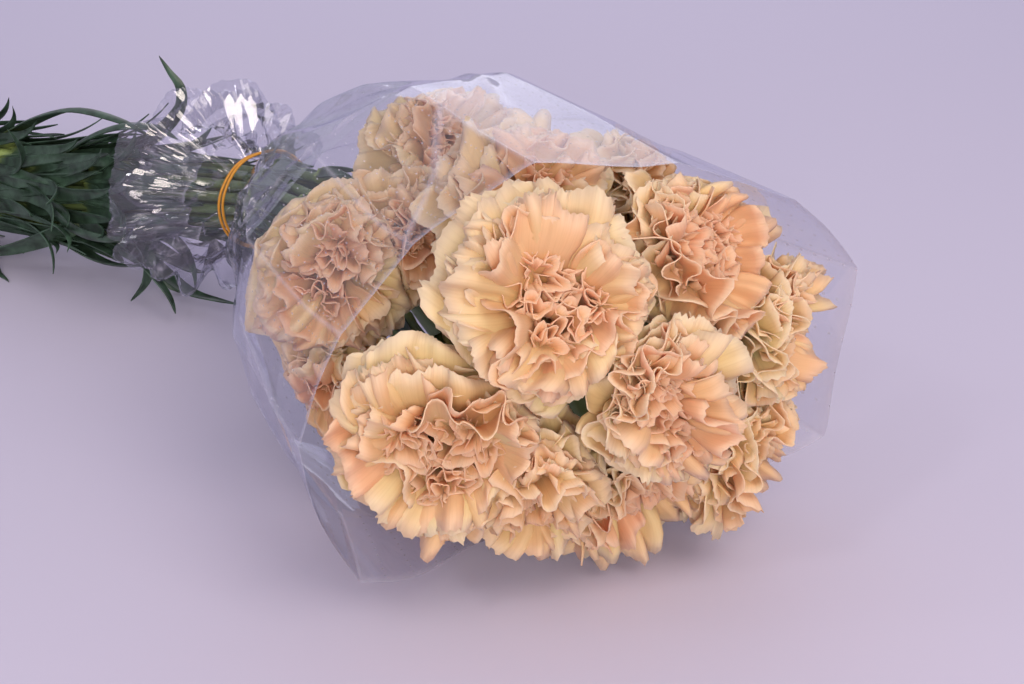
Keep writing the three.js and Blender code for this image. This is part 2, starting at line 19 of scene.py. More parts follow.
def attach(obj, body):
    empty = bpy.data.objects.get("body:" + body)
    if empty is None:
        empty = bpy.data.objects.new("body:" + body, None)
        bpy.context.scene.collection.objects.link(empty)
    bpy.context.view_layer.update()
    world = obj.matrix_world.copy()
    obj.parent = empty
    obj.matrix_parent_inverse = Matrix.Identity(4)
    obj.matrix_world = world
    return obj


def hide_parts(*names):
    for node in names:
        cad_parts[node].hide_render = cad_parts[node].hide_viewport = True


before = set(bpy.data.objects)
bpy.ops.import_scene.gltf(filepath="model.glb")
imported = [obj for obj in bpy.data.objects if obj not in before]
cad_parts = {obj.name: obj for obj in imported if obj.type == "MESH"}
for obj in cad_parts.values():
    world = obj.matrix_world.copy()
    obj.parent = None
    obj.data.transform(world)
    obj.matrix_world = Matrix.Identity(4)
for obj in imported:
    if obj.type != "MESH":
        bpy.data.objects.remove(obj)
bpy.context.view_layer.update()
bpy.ops.object.select_all(action="DESELECT")
print("solids in the frame:", len(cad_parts))

# %% [markdown]
# ## Units
#
# Blender counts in metres. Flowers are easier to think of in millimetres, so sizes are written in
# millimetres and become metres where a mesh gets its points.

# %% Units and small helpers
MM = 0.001
FULL_TURN = 2 * math.pi


def smooth(low, high, value):
    """0 below low, 1 above high, and an even curve between."""
    share = np.clip((np.asarray(value, float) - low) / (high - low), 0, 1)
    return share * share * (3 - 2 * share)


def unit(vectors):
    """Vectors of length 1."""
    return vectors / np.linalg.norm(vectors, axis=-1, keepdims=True)


def cubic(a, slope_a, b, slope_b, t):
    """Points on a cubic that leaves a along slope_a and reaches b along slope_b."""
    t = np.asarray(t, float)[..., None]
    return (
        a * (2 * t**3 - 3 * t**2 + 1)
        + slope_a * (t**3 - 2 * t**2 + t)
        + b * (3 * t**2 - 2 * t**3)
        + slope_b * (t**3 - t**2)
    )


print("a petal 40 mm long is", 40 * MM, "m")

# %% [markdown]
# ## The bunch's axis
#
# The heads are so wide that they hold the band over the table. Behind it the stems turn to the near
# side and sag until they lie on the table. One smooth line through seven points gives that shape, and
# everything else is placed round it.

# %% The bunch's axis
BAND_X = -207  # where the rubber band sits
TAIL_X = -535  # the cut ends
AXIS = np.array(
    [
        [-560, -134, 31],
        [-430, -88, 34],
        [-330, -48, 44],
        [BAND_X, 0, 66],
        [-100, 8, 80],
        [0, 0, 85],
        [100, 0, 85],
    ],
    float,
)

behind = np.vstack([AXIS[:1], AXIS[:-1]])
ahead = np.vstack([AXIS[1:], AXIS[-1:]])
AXIS_SLOPE = (ahead - behind) / (ahead - behind)[:, :1]


def axis_at(x):
    """The points of the bunch's axis at x."""
    x = np.asarray(x, float)
    k = np.clip(np.searchsorted(AXIS[:, 0], x, side="right") - 1, 0, len(AXIS) - 2)
    span = (AXIS[k + 1, 0] - AXIS[k, 0])[..., None]
    t = (x - AXIS[k, 0]) / span[..., 0]
    return cubic(AXIS[k], AXIS_SLOPE[k] * span, AXIS[k + 1], AXIS_SLOPE[k + 1] * span, t)


def round_axis(x, distance, angle):
    """Points at a distance and an angle from the axis. Angle 0 is the far side and 90 degrees is up."""
    off = np.stack([0 * angle, distance * np.cos(angle), distance * np.sin(angle)], -1)
    return axis_at(x) + off


print("the axis passes the band at", axis_at(BAND_X).round(1), "mm")

# %% [markdown]
# ## Where each flower sits
#
# A flower is given by its heart, the middle of the bloom's face, by the way that it looks, and by the
# place of its stem in the band: the middle, the ring of six round it or the ring of thirteen outside.
# Seven blooms and the large one at the near side hang out of the sleeve. The rest are inside.

# %% The twenty flowers: ring, slot, size, hangs out, heart, faces
FLOWERS = [
    (0, 0, 1, True, (90, -4, 82), (1, -0.05, -0.05)),
    (1, 0, 1, True, (72, 64, 86), (0.8, 0.6, 0)),
    (1, 1, 1.15, True, (66, 32, 124), (0.85, 0.2, 0.4)),
    (1, 2, 1.2, True, (66, -34, 120), (0.85, -0.3, 0.42)),
    (1, 3, 0.95, True, (62, -38, 44), (0.85, -0.33, -0.42)),
    (1, 4, 0.95, True, (66, 0, 34), (0.85, -0.05, -0.5)),
    (1, 5, 1, True, (72, 50, 40), (0.85, 0.35, -0.4)),
    (2, 0, 0.85, False, (-14, 70, 118), (0.78, 0.5, 0.37)),
    (2, 1, 1.1, False, (2, 4, 134), (0.72, 0.02, 0.68)),
    (2, 2, 1, False, (-68, 14, 129), (0.8, 0, 0.6)),
    (2, 3, 0.85, False, (-36, -24, 110), (0.9, -0.25, 0.34)),
    (2, 4, 1.1, False, (-42, -62, 100), (0.72, -0.62, 0.12)),
    (2, 5, 1.25, True, (50, -73, 68), (0.78, -0.58, -0.02)),
    (2, 6, 0.9, False, (-44, -62, 48), (0.75, -0.55, -0.37)),
    (2, 7, 0.85, False, (-14, -30, 34), (0.87, -0.22, -0.42)),
    (2, 8, 0.85, False, (18, 24, 28), (0.87, 0.1, -0.47)),
    (2, 9, 0.85, False, (-48, 16, 32), (0.9, 0.08, -0.4)),
    (2, 10, 0.85, False, (10, 70, 40), (0.76, 0.45, -0.45)),
    (2, 11, 0.85, False, (-46, 60, 62), (0.75, 0.62, -0.2)),
    (2, 12, 0.85, False, (6, 88, 82), (0.7, 0.71, 0.02)),
]
RING_COUNT = (1, 6, 13)
RING_RADIUS = (0, 5.9, 12.3)  # in the band
RING_FIRST = (0, 10, 28)  # degrees
TAIL_SPREAD = 2.05  # the rings are this much wider at the cut ends
MAX_STAGGER = 12  # how unevenly the stems are cut
STAGGER_TURN = 2.4
BLOOM_HEIGHT = 32  # from the calyx's mouth to the heart's top
CALYX_LENGTH = 26
CALYX_RADIUS = 6.8
CALYX_BEADS = np.array([[0.2], [0.4], [0.6], [0.8], [1]])  # places along a calyx, as shares of it
UPPER_STEPS = 32  # points of a stem's path between the band and the calyx
BAND_PULL = 0.7  # how straight a stem leaves the band, as a share of its run
CALYX_PULL = 0.35  # and how straight it meets the calyx


def lay_out(index, ring, slot, size, is_out, heart, faces):
    """One flower's lines and places, in millimetres, and the bloom's own three directions."""
    angle = math.radians(RING_FIRST[ring] + 360 * slot / RING_COUNT[ring])
    heart = np.array(heart, float)
    faces = unit(np.array(faces, float))
    up = unit(np.array([0, 0, 1]) - faces[2] * faces)
    mouth = heart - BLOOM_HEIGHT * faces
    base = mouth - CALYX_LENGTH * faces
    tail_x = TAIL_X + MAX_STAGGER * math.sin(STAGGER_TURN * index)

    def lower(t):
        """The stem from the cut end, at 0, to the band, at 1."""
        t = np.asarray(t, float)
        distance = RING_RADIUS[ring] * (TAIL_SPREAD + (1 - TAIL_SPREAD) * t)
        return round_axis(tail_x + (BAND_X - tail_x) * t, distance, angle + 0 * t)

    band = lower(1)
    along = unit(axis_at(BAND_X + 5) - axis_at(BAND_X - 5))
    run = np.linalg.norm(base - band)
    steps = np.linspace(0, 1, UPPER_STEPS + 1)
    path = cubic(band, along * run * BAND_PULL, base, faces * run * CALYX_PULL, steps)
    return dict(
        index=index, number=f"{index + 1:02d}", ring=ring, slot=slot, size=size, is_out=is_out,
        heart=heart, faces=faces, directions=np.stack([up, np.cross(faces, up), faces]),
        mouth=mouth, base=base, calyx=base + CALYX_LENGTH * faces * CALYX_BEADS,
        lower=lower, path=path, tail_x=tail_x,
    )


flowers = [lay_out(index, *flower) for index, flower in enumerate(FLOWERS)]
print("flowers laid out:", len(flowers))

# %% [markdown]
# ## Stems that make room for each other
#
# Twenty stems fan out from the band to their blooms, and real ones lean on one another. Here each path
# is a string of beads. In every pass the strings are smoothed a little, and beads that are too near
# each other are pushed apart, as the stems of a real bunch do when it is tied.

# %% Settle the stems
UPPER_ROOM = 3.4  # the radius that a stem with its small leaves takes
CORE_ROOM = 10  # stems keep this far from the middle of another bloom
CORE_BEADS = np.array([[6], [14], [22]])  # over the calyx's mouth
CLEARANCE = 0.35  # between pieces that touch
SETTLE_PASSES = 120
SMOOTHING = 0.2
PUSH = 0.3


def settle(bunched):
    """Moves the free points of every path."""
    points, radius, free, owner = [], [], [], []
    for f in bunched:
        core = f["mouth"] + f["faces"] * CORE_BEADS
        held = len(CALYX_BEADS) + len(CORE_BEADS)
        points += [f["path"], f["calyx"], core]
        radius += [UPPER_ROOM] * len(f["path"])
        radius += [CALYX_RADIUS] * len(CALYX_BEADS) + [CORE_ROOM] * len(CORE_BEADS)
        free += [1 < k < UPPER_STEPS - 1 for k in range(len(f["path"]))] + [False] * held
        owner += [f["index"]] * (len(f["path"]) + held)
    at, radius, free, owner = np.vstack(points), np.array(radius), np.array(free), np.array(owner)
    meets = (owner[:, None] != owner) & (free[:, None] | free)
    room = radius[:, None] + radius + 2 * CLEARANCE
    inner = np.flatnonzero(free)
    for _ in range(SETTLE_PASSES):
        at[inner] += SMOOTHING * ((at[inner - 1] + at[inner + 1]) / 2 - at[inner])
        gap = at[None] - at[:, None]
        distance = np.linalg.norm(gap, axis=2) + np.eye(len(at))
        push = np.where(meets & (distance < room), PUSH * (room - distance) / distance, 0)
        at[inner] -= (push[:, :, None] * gap).sum(1)[inner]
    for f in bunched:
        first = int(np.flatnonzero(owner == f["index"])[0])
        f["path"] = at[first : first + UPPER_STEPS + 1]


settle(flowers)
print("stem 10 meets its calyx at", flowers[9]["path"][-1].round(1), "mm")

# %% [markdown]
# ## Colour and shader helpers
#
# Colours are picked as sRGB hex values, the way a paint program shows them. Shaders count in linear
# light, so one function turns the first into the second. Another adds a node, sets what it is given and
# links what is already a node or a socket. Each material gets that function tied to its own node tree.

# %% Colour and node helpers
def srgb(code):
    """A hex colour as the linear RGBA that shaders use."""
    values = [int(code[k : k + 2], 16) / 255 for k in (1, 3, 5)]
    return (*[v / 12.92 if v <= 0.04045 else ((v + 0.055) / 1.055) ** 2.4 for v in values], 1)


def add_node(tree, kind, inputs=None, **settings):
    """A new shader node, with its settings, and with its inputs set or linked."""
    made = tree.nodes.new("ShaderNode" + kind)
    for name, value in settings.items():
        setattr(made, name, value)
    for name, value in (inputs or {}).items():
        if isinstance(value, bpy.types.Node):
            value = next(socket for socket in value.outputs if socket.enabled)
        if isinstance(value, bpy.types.NodeSocket):
            tree.links.new(value, made.inputs[name])
        else:
            made.inputs[name].default_value = value
    return made


def new_material(name):
    """An empty material, and the function that adds a node to it."""
    material = bpy.data.materials.new(name)
    material.use_nodes = True
    material.node_tree.nodes.clear()
    return material, partial(add_node, material.node_tree)


print("cream is", [round(v, 3) for v in srgb("#F0DDB8")])

# %% [markdown]
# ## Mesh helpers
#
# Sheets such as petals, leaves and film start flat, as a grid, and are then bent into shape by a
# formula. A Solidify modifier gives them their thickness. What is round and long is a curve with a
# bevel, so that each of its points can have its own thickness. What repeats is modelled once and copied,
# each copy with a mesh of its own, and the copies of one piece are joined.

# %% Mesh helpers
def points_of(mesh):
    """A mesh's points, one row each."""
    flat = np.empty(3 * len(mesh.vertices))
    mesh.vertices.foreach_get("co", flat)
    return flat.reshape(-1, 3)


def set_points(mesh, points_mm):
    """Gives a mesh its points from millimetres."""
    mesh.vertices.foreach_set("co", (np.asarray(points_mm) * MM).ravel())
    mesh.update()


def select_only(first, *others):
    """Selects these objects and no other, and makes the first one active."""
    bpy.ops.object.select_all(action="DESELECT")
    for obj in (first, *others):
        obj.select_set(True)
    bpy.context.view_layer.objects.active = first


def flat_grid(name, columns, rows):
    """A flat grid whose x runs from -1 to 1 and y from 0 to 1, with a UV map."""
    bpy.ops.mesh.primitive_grid_add(x_subdivisions=columns, y_subdivisions=rows, size=2)
    grid = bpy.context.object
    grid.name = name
    bpy.ops.object.mode_set(mode="EDIT")
    bpy.ops.transform.translate(value=(0, 1, 0))
    bpy.ops.transform.resize(value=(1, 0.5, 1), center_override=(0, 0, 0))
    bpy.ops.object.mode_set(mode="OBJECT")
    grid.data.uv_layers[0].name = "sheet"
    return grid


def copy_of(template):
    """A copy of an object with its own mesh."""
    copy = template.copy()
    copy.data = template.data.copy()
    bpy.context.collection.objects.link(copy)
    return copy


def tube_along(name, points_mm, radii, closed):
    """A round tube along a line of points, as a mesh object: a curve with a bevel, converted."""
    data = bpy.data.curves.new(name, "CURVE")
    data.dimensions = "3D"
    data.bevel_depth = MM
    data.bevel_resolution = 2
    data.use_fill_caps = not closed
    spline = data.splines.new("POLY")
    spline.points.add(len(points_mm) - 1)
    for point, at, radius in zip(spline.points, points_mm * MM, radii):
        point.co = (*at, 1)
        point.radius = radius
    spline.use_cyclic_u = closed
    tube = bpy.data.objects.new(name, data)
    bpy.context.collection.objects.link(tube)
    select_only(tube)
    bpy.ops.object.convert(target="MESH")
    return bpy.context.object


def join(parts, name):
    """Joins objects into one piece with the given name."""
    select_only(*parts)
    bpy.ops.object.join()
    parts[0].name = parts[0].data.name = name
    return parts[0]


def apply_modifier(obj, kind, **settings):
    """Adds a modifier to obj and applies it."""
    select_only(obj)
    modifier = obj.modifiers.new(kind.lower(), kind)
    for name, value in settings.items():
        setattr(modifier, name, value)
    bpy.ops.object.modifier_apply(modifier=modifier.name)


def mark(mesh, name, value):
    """Stores one number, or one for each point, as an attribute that a material can read."""
    attribute = mesh.attributes.new(name, "FLOAT", "POINT")
    attribute.data.foreach_set("value", np.broadcast_to(value, len(mesh.vertices)).astype(np.float32))


def finish_piece(piece, node, material):
    """The piece stands for its solid, rides with the bunch and gets its material."""
    piece.data.materials.clear()
    piece.data.materials.append(material)
    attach(piece, "root")
    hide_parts(node)


print("mesh helpers ready")

# %% [markdown]
# ## Camera
#
# The photographer looked down on the heads from the front left, from about 0.7 m, with a short
# telephoto lens. The camera is made early, so that every piece can be looked at as it is made.

# %% Camera
CAMERA_AT = (0.5242, -0.3749, 0.3738)
CAMERA_AZIMUTH = math.radians(55)
CAMERA_ELEVATION = math.radians(25)
LENS = 66.8  # mm, for the sensor below
SENSOR = 36  # mm wide

level = math.cos(CAMERA_ELEVATION)
back = (
    math.sin(CAMERA_AZIMUTH) * level,
    -math.cos(CAMERA_AZIMUTH) * level,
    math.sin(CAMERA_ELEVATION),
)
camera_data = bpy.data.cameras.new("camera")
camera_data.lens = LENS
camera_data.sensor_width = SENSOR
camera = bpy.data.objects.new("camera", camera_data)
camera.location = CAMERA_AT
camera.rotation_mode = "QUATERNION"
camera.rotation_quaternion = (-Vector(back)).to_track_quat("-Z", "Y")
bpy.context.collection.objects.link(camera)
bpy.context.scene.camera = camera
print("camera at", CAMERA_AT)

# %% [markdown]
# ## Petal material
#
# A fresh petal is a soft, matt skin a few tenths of a millimetre thick, full of water. Light goes
# through it, so its shadows glow warm: a Translucent shader is mixed with the Principled one. The guard
# petals are cream, greenish where they leave the calyx and almost white along the toothed rim. Towards
# the heart the same skin turns peach. Towards its root every petal is also painted darker, as shade
# for the crevices deep between the petals. Fine veins fan out from the root, so they follow the UV map.

# %% Petal material
VEINS = (64, 1.2, 1)  # across a petal, so one or two in each millimetre, and along it
# Smooth steps along the petal or in the pattern of its veins: name, from, to.
PETAL_STEPS = [("root_tint_and_shade", 0.15, 0.7), ("rim", 0.78, 1.1), ("vein", 0.45, 0.65)]
# Each colour is mixed from two: its name, what it depends on, and the colours at 0 and at 1.
PETAL_COLOURS = [
    ("cream", "tint", "#F5EBB2", "#F5E4AA"),
    # The guard petal's greenish root is its claw's own colour, darkened further as painted shade of the
    # crevices between petals.
    ("guard petal", "root_tint_and_shade", "#C8BC62", "cream"),
    ("peach", "tint", "#F7D39C", "#F5C198"),
    # The heart petal's dark orange root is painted shade of the deep crevices between petals.
    ("heart petal", "root_tint_and_shade", "#C47A40", "peach"),
    ("pale rim", "heart", "#FBF3DC", "#F9DEC2"),
    ("plain", "heart", "guard petal", "heart petal"),
    ("rimmed", "rim", "plain", "pale rim"),
    ("darker", "a little", "rimmed", "#B98A55"),
    ("veined", "vein", "rimmed", "darker"),
]


def petal_material():
    material, add = new_material("fresh_carnation_petal")
    sheet = add("UVMap", uv_map="sheet")
    along = add("SeparateXYZ", {"Vector": sheet}).outputs["Y"]
    stretched = add("VectorMath", {0: sheet, 1: VEINS}, operation="MULTIPLY")
    veins = add("TexNoise", {"Vector": stretched, "Scale": 1.0, "Detail": 2.0})
    made = {"a little": 0.09}
    for name in ("heart", "tint"):
        made[name] = add("Attribute", attribute_name=name).outputs["Fac"]
    for (name, low, high), value in zip(PETAL_STEPS, (along, along, veins)):
        limits = {"Value": value, "From Min": low, "From Max": high}
        made[name] = add("MapRange", limits, interpolation_type="SMOOTHSTEP")
    for name, share, *pair in PETAL_COLOURS:
        a, b = (made[colour] if colour in made else srgb(colour) for colour in pair)
        made[name] = add("Mix", {0: made[share], 6: a, 7: b}, data_type="RGBA")
    colour = made["veined"]
    bump = add("Bump", {"Strength": 0.1, "Distance": 0.0002, "Height": veins})
    looks = {"Roughness": 0.52, "Sheen Weight": 0.18, "Specular IOR Level": 0.45}
    skin = add("BsdfPrincipled", {"Base Color": colour, "Normal": bump, **looks})
    warmth = {0: 1.0, 6: colour, 7: srgb("#FFC684")}
    warm = add("Mix", warmth, data_type="RGBA", blend_type="MULTIPLY")
    glow = add("BsdfTranslucent", {"Color": warm})
    both = add("MixShader", {0: 0.36, 1: skin, 2: glow})
    add("OutputMaterial", {"Surface": both})
    return material


petal_skin = petal_material()
print("made", petal_skin.name)

# %% [markdown]
# ## One petal
#
# A carnation petal is a fan on a narrow claw, with a toothed rim. The flat grid's rim gets its teeth:
# every other point of the last row is moved outwards. Wide guard petals get more teeth than the
# small ones of the heart. Three grids are enough, since each copy is bent in its own way.

# %% Petal blanks
TOOTH = 0.02  # a tooth's depth as a share of the petal's length: about 0.8 mm
RIM = 0.999  # what lies farther along a blank belongs to its toothed rim


def petal_blank(name, columns, rows):
    """A flat petal with a toothed rim."""
    blank = flat_grid(name, columns, rows)
    bpy.ops.object.mode_set(mode="EDIT")
    bpy.ops.mesh.select_all(action="DESELECT")
    edit = bmesh.from_edit_mesh(blank.data)
    rim = sorted((v for v in edit.verts if v.co.y > RIM), key=lambda v: v.co.x)
    for vertex in rim[1::2]:
        vertex.select = True
    edit.select_flush_mode()
    bmesh.update_edit_mesh(blank.data)
    bpy.ops.transform.translate(value=(0, TOOTH, 0))
    bpy.ops.object.mode_set(mode="OBJECT")
    return blank


blanks = {
    "guard": petal_blank("guard_blank", 46, 8),
    "inner": petal_blank("inner_blank", 34, 8),
    "heart": petal_blank("heart_blank", 24, 6),
}
for name, blank in blanks.items():
    print(name, "blank:", len(blank.data.polygons), "faces")

# %% [markdown]
# ## How a petal bends
#
# Five rings of petals grow one inside the other. The guard petals lie back almost flat, and the next
# ones open less and less, but all turn outwards at the rim, so that they cover each other like shingles.
# A petal's middle line starts along the bloom's axis and turns by its opening angle, then by its curl.
# Across it the petal is ruffled, the more the nearer to the rim, because the rim of a real petal grows
# longer than the rest. One edge lies over the next petal and the other under the one before.

# %% Rings of petals: sizes in mm, angles in degrees
SIZES = "blank count root length width opening curl ruffle waves heart leans".split()
PETAL_ROWS = [
    ("guard", 5, (3, 0), 43, 46, 80, 12, 3.3, 1.3, 0.0, 0.0),
    ("guard", 7, (3, 2), 41, 38, 66, 24, 3.9, 1.5, 0.08, 0.0),
    ("inner", 10, (3, 4), 39, 31, 53, 36, 4.0, 1.5, 0.22, 0.2),
    ("inner", 11, (2.6, 6), 36.5, 28, 41, 44, 4.0, 1.6, 0.48, 0.5),
    ("inner", 11, (2.2, 8), 34, 25, 29, 46, 3.6, 1.6, 0.75, 0.8),
]
PETAL_KINDS = [dict(zip(SIZES, row)) for row in PETAL_ROWS]
# How far a petal's sizes may lie from those of its kind, as shares of them.
VARIES = dict(length=(0.84, 1.1), width=(0.88, 1.1), curl=(-0.2, 1.9), waves=(0.75, 1.25))
RUFFLE_VARIES = (0.7, 1.3)
OPENING_VARIES = 9  # degrees
CUP = (-0.08, 0.14)  # how far a petal is hollow across, as a share of its width
CLAW = 4.5  # the width of a petal's narrow claw
OVERLAP = 2.2  # how far one edge of a petal lies over its neighbour and the other edge under
ROUNDED = 0.25  # how far the crests of the waves are widened, as the loops of a frill are
FRILL = 0.8  # the height of the small waves at the rim
FOLDED = 0.35  # the share of petals that are folded along their middle
DEEPEST_FOLD = 9


def fray(u, s, random):
    """The teeth made uneven, as on a real rim: deep in some places and hardly there in others."""
    deep = 0.6 + 0.5 * np.sin(5 * u + random.uniform(0, FULL_TURN))
    tooth = 1 + (s - 1) * random.uniform(0.2, 1.7, len(s)) * deep
    return np.where(s > 1, tooth, np.where(s > RIM, s - random.uniform(0, 0.015, len(s)), s))


def bend_petal(u, s, kind, random):
    """Points of one petal as (outwards, sideways, up), and how its waves lift each of them."""
    length = kind["length"] * random.uniform(*VARIES["length"])
    width = kind["width"] * random.uniform(*VARIES["width"])
    opening = math.radians(kind["opening"] + random.normal(0, OPENING_VARIES))
    curl = math.radians(kind["curl"] * random.uniform(*VARIES["curl"]))
    phase = random.uniform(0, FULL_TURN, 4)
    s = fray(u, s, random)
    half = CLAW / 2 + (width - CLAW) / 2 * smooth(0.05, 0.85, s)
    lobes = 0.045 * np.sin(4.5 * u + phase[0]) + 0.028 * np.sin(10 * u + phase[1])
    reach = s * (1 - 0.1 * u**2 * s - 0.1 * u**6 * s + lobes * s**2)

    # The petal's middle line, added up from short steps that turn more and more outwards.
    steps = np.linspace(0, 1.2, 49)
    turn = opening * smooth(0.08, 0.6, steps) + curl * smooth(0.55, 1.05, steps)
    step = length * (steps[1] - steps[0])
    out, high = (
        np.interp(reach, steps, start + step * (np.cumsum(way) - way[0]))
        for start, way in zip(kind["root"], (np.sin(turn), np.cos(turn)))
    )
    angle = np.interp(reach, steps, turn)

    waves = math.pi * kind["waves"] * random.uniform(*VARIES["waves"])
    slow = waves * u + phase[2]
    quick = 2.1 * waves * u + phase[3] + 1.5 * s
    upper = smooth(0.3, 1.05, s)
    rounding = ROUNDED / waves * (np.sin(2 * slow) + np.sin(2 * quick) / 2.1) * upper
    cup = random.uniform(*CUP) * width * u**2 * smooth(0.2, 1, s)
    frill = FRILL * np.sin(9 * u + phase[1]) * smooth(0.6, 1.05, s)
    fold = random.uniform(-DEEPEST_FOLD, DEEPEST_FOLD) * (random.uniform() < FOLDED)
    fold = fold * (np.abs(u - random.uniform(-0.4, 0.4)) - 0.5) * smooth(0.2, 1, s)
    wave = np.sin(slow) + 0.5 * np.sin(quick)
    lift = kind["ruffle"] * upper * wave * random.uniform(*RUFFLE_VARIES)
    lift = lift + frill + fold - cup + OVERLAP * u * smooth(0.15, 0.8, s)
    points = np.column_stack([out, (u - rounding) * half, high])
    looks = np.column_stack([-np.cos(angle), 0 * u, np.sin(angle)])
    return points, looks * lift[:, None]


print("petals in the rings of a bloom:", sum(k["count"] for k in PETAL_KINDS))

# %% [markdown]
# ## The heart of a bloom
#
# The innermost petals never unfold. They stand on end round one, two or three centres, curled round
# each other like crumpled ribbons, so that little but their rims is seen. Each is bent round its centre
# on an arc, folded in and out along its length, and flares a little at the rim.

# %% Heart petals
WHORLS = [  # petals, their distance from the centre in mm, how far one reaches round it in degrees
    (5, 9.6, 90),
    (4, 6.6, 115),
    (3, 3.9, 150),
    (2, 1.5, 200),
]
OUTER_WHORL = (6, 12.5, 80)  # round a heart with one centre
HEART_ROOT = 6  # mm over the calyx's mouth
HEART_LENGTH = 27
HEART_SPREAD = 12  # how far the centres of a bloom with several lie from its axis
HEART_CENTRES = (2, 2, 3, 3, 2, 2, 3, 1, 2, 3, 1, 2, 3, 1, 1, 1, 1, 1, 1, 2)  # for each bloom
HEART_FOLD = 1.9  # how deep a heart petal is folded in and out
HEART_FLARE = (0.5, 4.5)  # how far its rim flares
HEART_FOLDS = 6  # as radians from its middle to its edge


def curl_petal(u, s, distance, round_it, start, random):
    """Points of one heart petal as (x, y, up) from its centre."""
    s = fray(u, s, random)
    phase = random.uniform(0, FULL_TURN, 2)
    half = math.radians(round_it) / 2
    wave = HEART_FOLDS * u
    grow = smooth(0.2, 1, s)
    turn = start + u * half * (0.35 + 0.65 * smooth(0, 0.5, s))
    turn = turn - half * ROUNDED / HEART_FOLDS * np.sin(2 * wave + 2 * phase[0]) * grow
    folds = np.sin(wave + phase[0]) + 0.5 * np.sin(2 * wave + phase[1])
    radius = distance * (0.25 + 0.75 * smooth(0, 0.6, s)) + HEART_FOLD * grow * folds
    radius = radius + random.uniform(*HEART_FLARE) * smooth(0.72, 1.05, s)
    length = HEART_LENGTH * random.uniform(0.88, 1.08)
    high = HEART_ROOT + length * s * (1 - 0.09 * u**2 + 0.03 * np.sin(5 * u + phase[1]))
    return np.column_stack([radius * np.cos(turn), radius * np.sin(turn), high])


print("petals in a centre:", sum(whorl[0] for whorl in WHORLS))

# %% [markdown]
# ## The sleeve's shape
#
# The petals must know where the film is, so its shape comes first. Sections along the bunch say how far
# the film stands from the axis on each side. The pleats of the gathered waist fade out towards the
# mouth, and the mouth is pushed back unevenly, so that the near blooms hang out. Film can't stretch, so
# in front of the band it hangs taut between long creases, like the panes of a lantern.

# %% The sleeve's sections: x, far, up, near, down, pleat depth, tuck
SLEEVE = np.array(
    [
        [-226, 23, 23, 23, 23, 1.5, 0],
        [-238, 24, 25, 25, 24, 2.0, 0],
        [-248, 33, 35, 35, 31, 2.2, 0],
        [-236, 42, 43, 43, 38, 3.0, 0],
        [-218, 22, 22, 22, 22, 2.8, 0],
        [BAND_X, 19, 19, 19, 19, 2.6, 0],
        [-193, 22, 22.5, 22.5, 22, 2.4, 0],
        [-130, 58, 58, 66, 50, 1.2, 0],
        [-66, 88, 74.5, 98, 90, 0, 4],
        [-8, 102, 72.5, 106, 100, 0, 12],
    ],
    float,
)
BAND_ROW = 5
MOUTH_ROW = 5  # counted from the band
PLEATS = 12
TUCK_ANGLE = math.radians(145)  # where the film is tucked in deepest, over the near blooms
TUCK_SPREAD = math.radians(60)
# The mouth from the far side round over the top: how far the film reaches, and how far it stands out.
MOUTH = np.array(
    [
        [62, 6], [60, 2], [56, -4], [44, -2], [24, 0], [18, 0], [16, -1],
        [13, 0], [14, 12], [22, 14], [8, 0], [24, 0], [44, 4], [60, 12],
    ],
    float,
)
# The long creases from the waist to the mouth, as degrees round the axis at each end.
WAIST_CREASES = np.array([6, 38, 70, 98, 124, 150, 178, 210, 246, 284, 322])
MOUTH_CREASES = np.array([10, 41, 72, 99, 130, 160, 190, 222, 256, 292, 330])
TAUT = 0.8  # 1 is a straight pane between two creases


def through(values, place):
    """Values read at a place between rows, on a smooth curve that passes through each row."""
    k = np.clip(np.floor(place).astype(int), 0, len(values) - 2)
    t = place - k
    before, after = values[np.maximum(k - 1, 0)], values[np.minimum(k + 2, len(values) - 1)]
    a, b = values[k], values[k + 1]
    return cubic(a, (b - before) / 2, b, (after - a) / 2, t)


def between(values, place):
    """Values read at a place between rows, on straight lines."""
    k = np.clip(np.floor(place).astype(int), 0, len(values) - 2)
    return values[k] + (values[k + 1] - values[k]) * (place - k)[..., None]


def mouth_at(angle):
    """How far the film reaches and stands out at an angle of the mouth."""
    place = (angle / FULL_TURN % 1) * len(MOUTH)
    k = np.floor(place).astype(int) % len(MOUTH)
    t = smooth(0, 1, place % 1)[..., None]
    return MOUTH[k] + (MOUTH[(k + 1) % len(MOUTH)] - MOUTH[k]) * t


def film_round(row, angle, extra):
    """Points of the film as a round tube. Row 0 is at the band and -5 at the foot."""
    last = len(SLEEVE) - 1 - BAND_ROW
    at_row = np.minimum(row, last) + BAND_ROW
    section = np.where((row < 1)[..., None], through(SLEEVE, at_row), between(SLEEVE, at_row))
    x, far, up, near, down, pleat, tuck = np.moveaxis(section, -1, 0)
    beyond = np.clip(row - last, 0, 1)
    reach, stand = np.moveaxis(mouth_at(angle), -1, 0)
    fold = pleat * (1 - 2 * np.abs((angle / FULL_TURN * 2 * PLEATS) % 2 - 1))
    from_tuck = np.minimum(np.abs(angle % FULL_TURN - TUCK_ANGLE) / TUCK_SPREAD, 1)
    tucked = tuck * 0.5 * (1 + np.cos(math.pi * from_tuck))
    grow = fold - tucked + stand * beyond + extra
    wide = np.where(np.cos(angle) > 0, far, near) + grow
    tall = np.where(np.sin(angle) > 0, up, down) + grow
    middle = axis_at(x)
    y = middle[..., 1] + wide * np.cos(angle)
    z = middle[..., 2] + tall * np.sin(angle)
    return np.stack([x + (reach - x) * beyond, y, np.maximum(z, 0)], -1)


